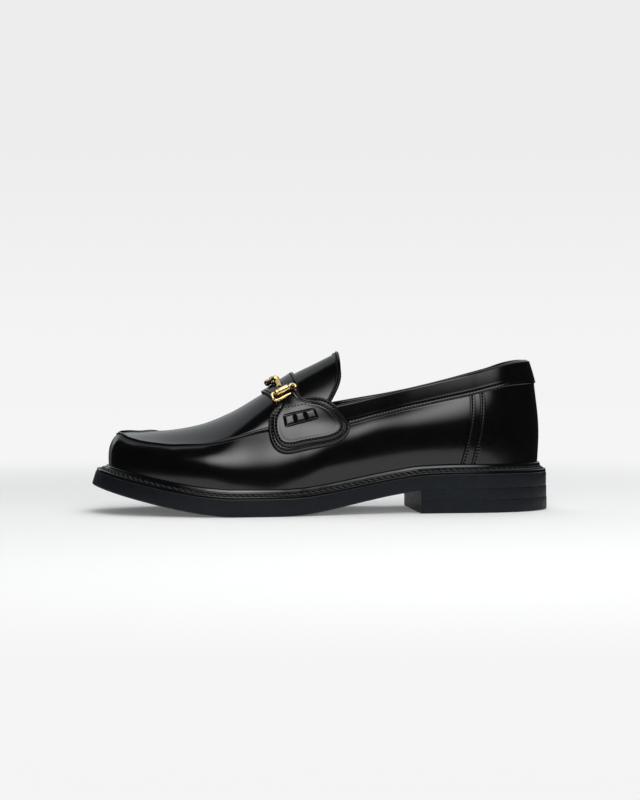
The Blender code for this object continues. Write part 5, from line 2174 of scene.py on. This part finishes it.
@dataclass
class Studio:
    """Floor, light and camera at the photograph's viewing angle."""

    azimuth: float = -7.5
    elevation: float = 2.6
    distance: float = 1.4
    target: tuple[float, float, float] = (0.0, 0.0, 0.045)
    pixels_per_metre: float = 1530.0
    target_pixel: tuple[float, float] = (321.8, 441.5)
    near_radius: float = 0.26
    far_radius: float = 5.0
    near_glow: float = 0.13
    fade: tuple[float, float] = (0.26, 0.7)
    paper_tone: Colour = (0.90, 0.90, 0.90)
    sky_tone: Colour = (1.0, 1.0, 1.003)
    sky_glow: tuple[float, float] = (0.905, 0.845)
    sky_range: tuple[float, float] = (0.0, 0.8)
    room_tone: Colour = (0.9, 0.95, 1.0)
    room_glow: float = 0.022
    aim: tuple[float, float, float] = (0.0, 0.0, 0.05)

    def camera(self) -> None:
        """Camera with the photograph's place and framing."""
        turn, rise = math.radians(self.azimuth), math.radians(self.elevation)
        back = Vector((math.sin(turn) * math.cos(rise), -math.cos(turn) * math.cos(rise), math.sin(rise)))
        data = bpy.data.cameras.new("camera")
        eye = placed("camera", data)
        eye.location = Vector(self.target) + back * self.distance
        eye.rotation_euler = back.to_track_quat("Z", "Y").to_euler()
        data.sensor_width = 36.0
        data.lens = self.pixels_per_metre * self.distance * data.sensor_width / PHOTO_HEIGHT
        data.shift_x = (0.5 * PHOTO_WIDTH - self.target_pixel[0]) / PHOTO_HEIGHT
        data.shift_y = (self.target_pixel[1] - 0.5 * PHOTO_HEIGHT) / PHOTO_HEIGHT
        data.clip_start = 0.01
        bpy.context.scene.camera = eye

    def paper(self) -> bpy.types.Material:
        """Pale paper of the floor."""
        surface = Surface("floor_paper")
        surface.fixed(Roughness=0.9, Specular_IOR_Level=0.1)
        away = surface.radius()
        surface.toned(surface.ranged(away, 0.0, 1.0, self.fade), self.paper_tone, BLACK)
        surface.fixed(Emission_Color=self.paper_tone)
        glow = surface.ranged(away, self.near_glow, 1.0, self.fade)
        surface.tree.links.new(glow, surface.shader.inputs["Emission Strength"])
        return surface.material

    def ring(self, name: str, inner: float, outer: float, material: bpy.types.Material) -> bpy.types.Object:
        """Flat ring of floor about the shoe.

        Args:
            name: name of the ring.
            inner: its inner radius, 0 for a disc.
            outer: its outer radius.
            material: its paper.

        Returns:
            The ring.
        """
        count = 128
        turn = 2.0 * np.pi * np.arange(count) / count
        circle = np.stack([np.cos(turn), np.sin(turn), 0.0 * turn], axis=1)
        data = bpy.data.meshes.new(name)
        if inner > 0.0:
            points = np.vstack([inner * circle, outer * circle])
            faces = [(k, count + k, count + (k + 1) % count, (k + 1) % count) for k in range(count)]
        else:
            points = outer * circle
            faces = [tuple(range(count))]
        data.from_pydata(points.tolist(), [], faces)
        data.materials.append(material)
        floor = placed(name, data)
        return floor

    def floor(self) -> None:
        """Floor in two rings, so the leather mirrors only the nearer one."""
        paper = self.paper()
        self.ring("floor_near", 0.0, self.near_radius, paper)
        far = self.ring("floor_far", self.near_radius, self.far_radius, paper)
        far.visible_glossy = False

    def backdrop(self) -> None:
        """Pale dome behind everything, seen by the camera alone."""
        surface = Surface("backdrop_paper")
        surface.fixed(Base_Color=BLACK, Roughness=1.0, Specular_IOR_Level=0.0, Emission_Color=self.sky_tone)
        glow = surface.ranged(surface.height(), *self.sky_glow, self.sky_range)
        surface.tree.links.new(glow, surface.shader.inputs["Emission Strength"])
        count, rows = 64, 16
        turn = 2.0 * np.pi * np.arange(count) / count
        rise = np.linspace(-0.02, 0.5 * np.pi - 0.01, rows)
        level = self.far_radius * np.cos(rise)
        points = [(wide * math.cos(a), wide * math.sin(a), self.far_radius * math.sin(e))
                  for a in turn for wide, e in zip(level, rise)]
        data = bpy.data.meshes.new("backdrop")
        data.from_pydata(points, [], grid_faces(count, rows, True, False))
        data.materials.append(surface.material)
        dome = placed("backdrop", data)
        dome.visible_glossy = False
        dome.visible_diffuse = False
        dome.visible_shadow = False

    def softbox(self, lamp: Lamp) -> bpy.types.Object:
        """Put up one light of the table.

        Args:
            lamp: its place, size and power.

        Returns:
            The light, which the camera does not see.
        """
        data = bpy.data.lights.new(lamp.name, "AREA")
        data.shape = "RECTANGLE"
        data.size, data.size_y = lamp.size
        data.energy = lamp.power
        data.color = lamp.tone
        light = placed(lamp.name, data)
        light.location = lamp.place
        light.rotation_euler = (Vector(lamp.place) - Vector(self.aim)).to_track_quat("Z", "Y").to_euler()
        light.visible_camera = False
        light.visible_glossy = lamp.mirrored
        return light

    @staticmethod
    def faded(data: bpy.types.AreaLight) -> None:
        """Let a light's face fade out from its middle to its rim.

        Args:
            data: the light.
        """
        data.use_nodes = True
        tree = data.node_tree
        face = tree.nodes.new("ShaderNodeNewGeometry").outputs["Parametric"]
        shift = tree.nodes.new("ShaderNodeVectorMath")
        shift.operation = "SUBTRACT"
        shift.inputs[1].default_value = (0.5, 0.5, 0.0)
        away = tree.nodes.new("ShaderNodeVectorMath")
        away.operation = "LENGTH"
        fall = tree.nodes.new("ShaderNodeMapRange")
        fall.interpolation_type = "SMOOTHSTEP"
        fall.inputs["From Max"].default_value = 0.5
        fall.inputs["To Min"].default_value = 1.0
        fall.inputs["To Max"].default_value = 0.0
        tree.links.new(face, shift.inputs[0])
        tree.links.new(shift.outputs["Vector"], away.inputs[0])
        tree.links.new(away.outputs["Value"], fall.inputs["Value"])
        tree.links.new(fall.outputs["Result"], tree.nodes["Emission"].inputs["Strength"])

    @staticmethod
    def only_on(light: bpy.types.Object, pieces: Sequence[bpy.types.Object]) -> None:
        """Keep a light to some pieces.

        Args:
            light: the light.
            pieces: all that it shines on.
        """
        group = bpy.data.collections.new(light.name + "_on")
        for piece in pieces:
            group.objects.link(piece)
        light.light_linking.receiver_collection = group

    def lights(self, gilded: Sequence[bpy.types.Object], toe: bpy.types.Object) -> None:
        """Soft light from above and in front, with a dim room round it.

        Args:
            gilded: pieces of metal, which get a light of their own.
            toe: seam at the toe, which gets one too.
        """
        made = {lamp.name: self.softbox(lamp) for lamp in LAMPS}
        self.faded(made["key"].data)
        self.only_on(made["toe_glint"], [toe])
        self.only_on(made["jewel"], gilded)
        world = bpy.data.worlds.new("room")
        world.use_nodes = True
        background = world.node_tree.nodes["Background"]
        background.inputs["Color"].default_value = (*self.room_tone, 1.0)
        background.inputs["Strength"].default_value = self.room_glow
        bpy.context.scene.world = world

    def build(self, gilded: Sequence[bpy.types.Object], toe: bpy.types.Object) -> None:
        """Set up the whole studio.

        Args:
            gilded: pieces with a light of their own.
            toe: seam with another.
        """
        self.camera()
        self.floor()
        self.backdrop()
        self.lights(gilded, toe)
        bpy.context.scene.view_settings.view_transform = "Standard"


def main() -> None:
    """Build the shoe round the frame and light it."""
    logging.basicConfig(level=logging.INFO, format="%(name)s %(message)s")
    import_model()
    form = Last()
    bench = Bench(form)
    finishes = Finishes()
    bead = Bead()
    instep = Instep(form)
    SoleUnit(form).build(bench, finishes, bead)
    toe = Upper(form).build(bench, finishes, bead)
    Saddle(form, instep).build(bench, finishes, bead)
    gilded = Bit(form, instep).build(bench, finishes)
    Studio().build(gilded, toe)


if __name__ == "__main__":
    main()
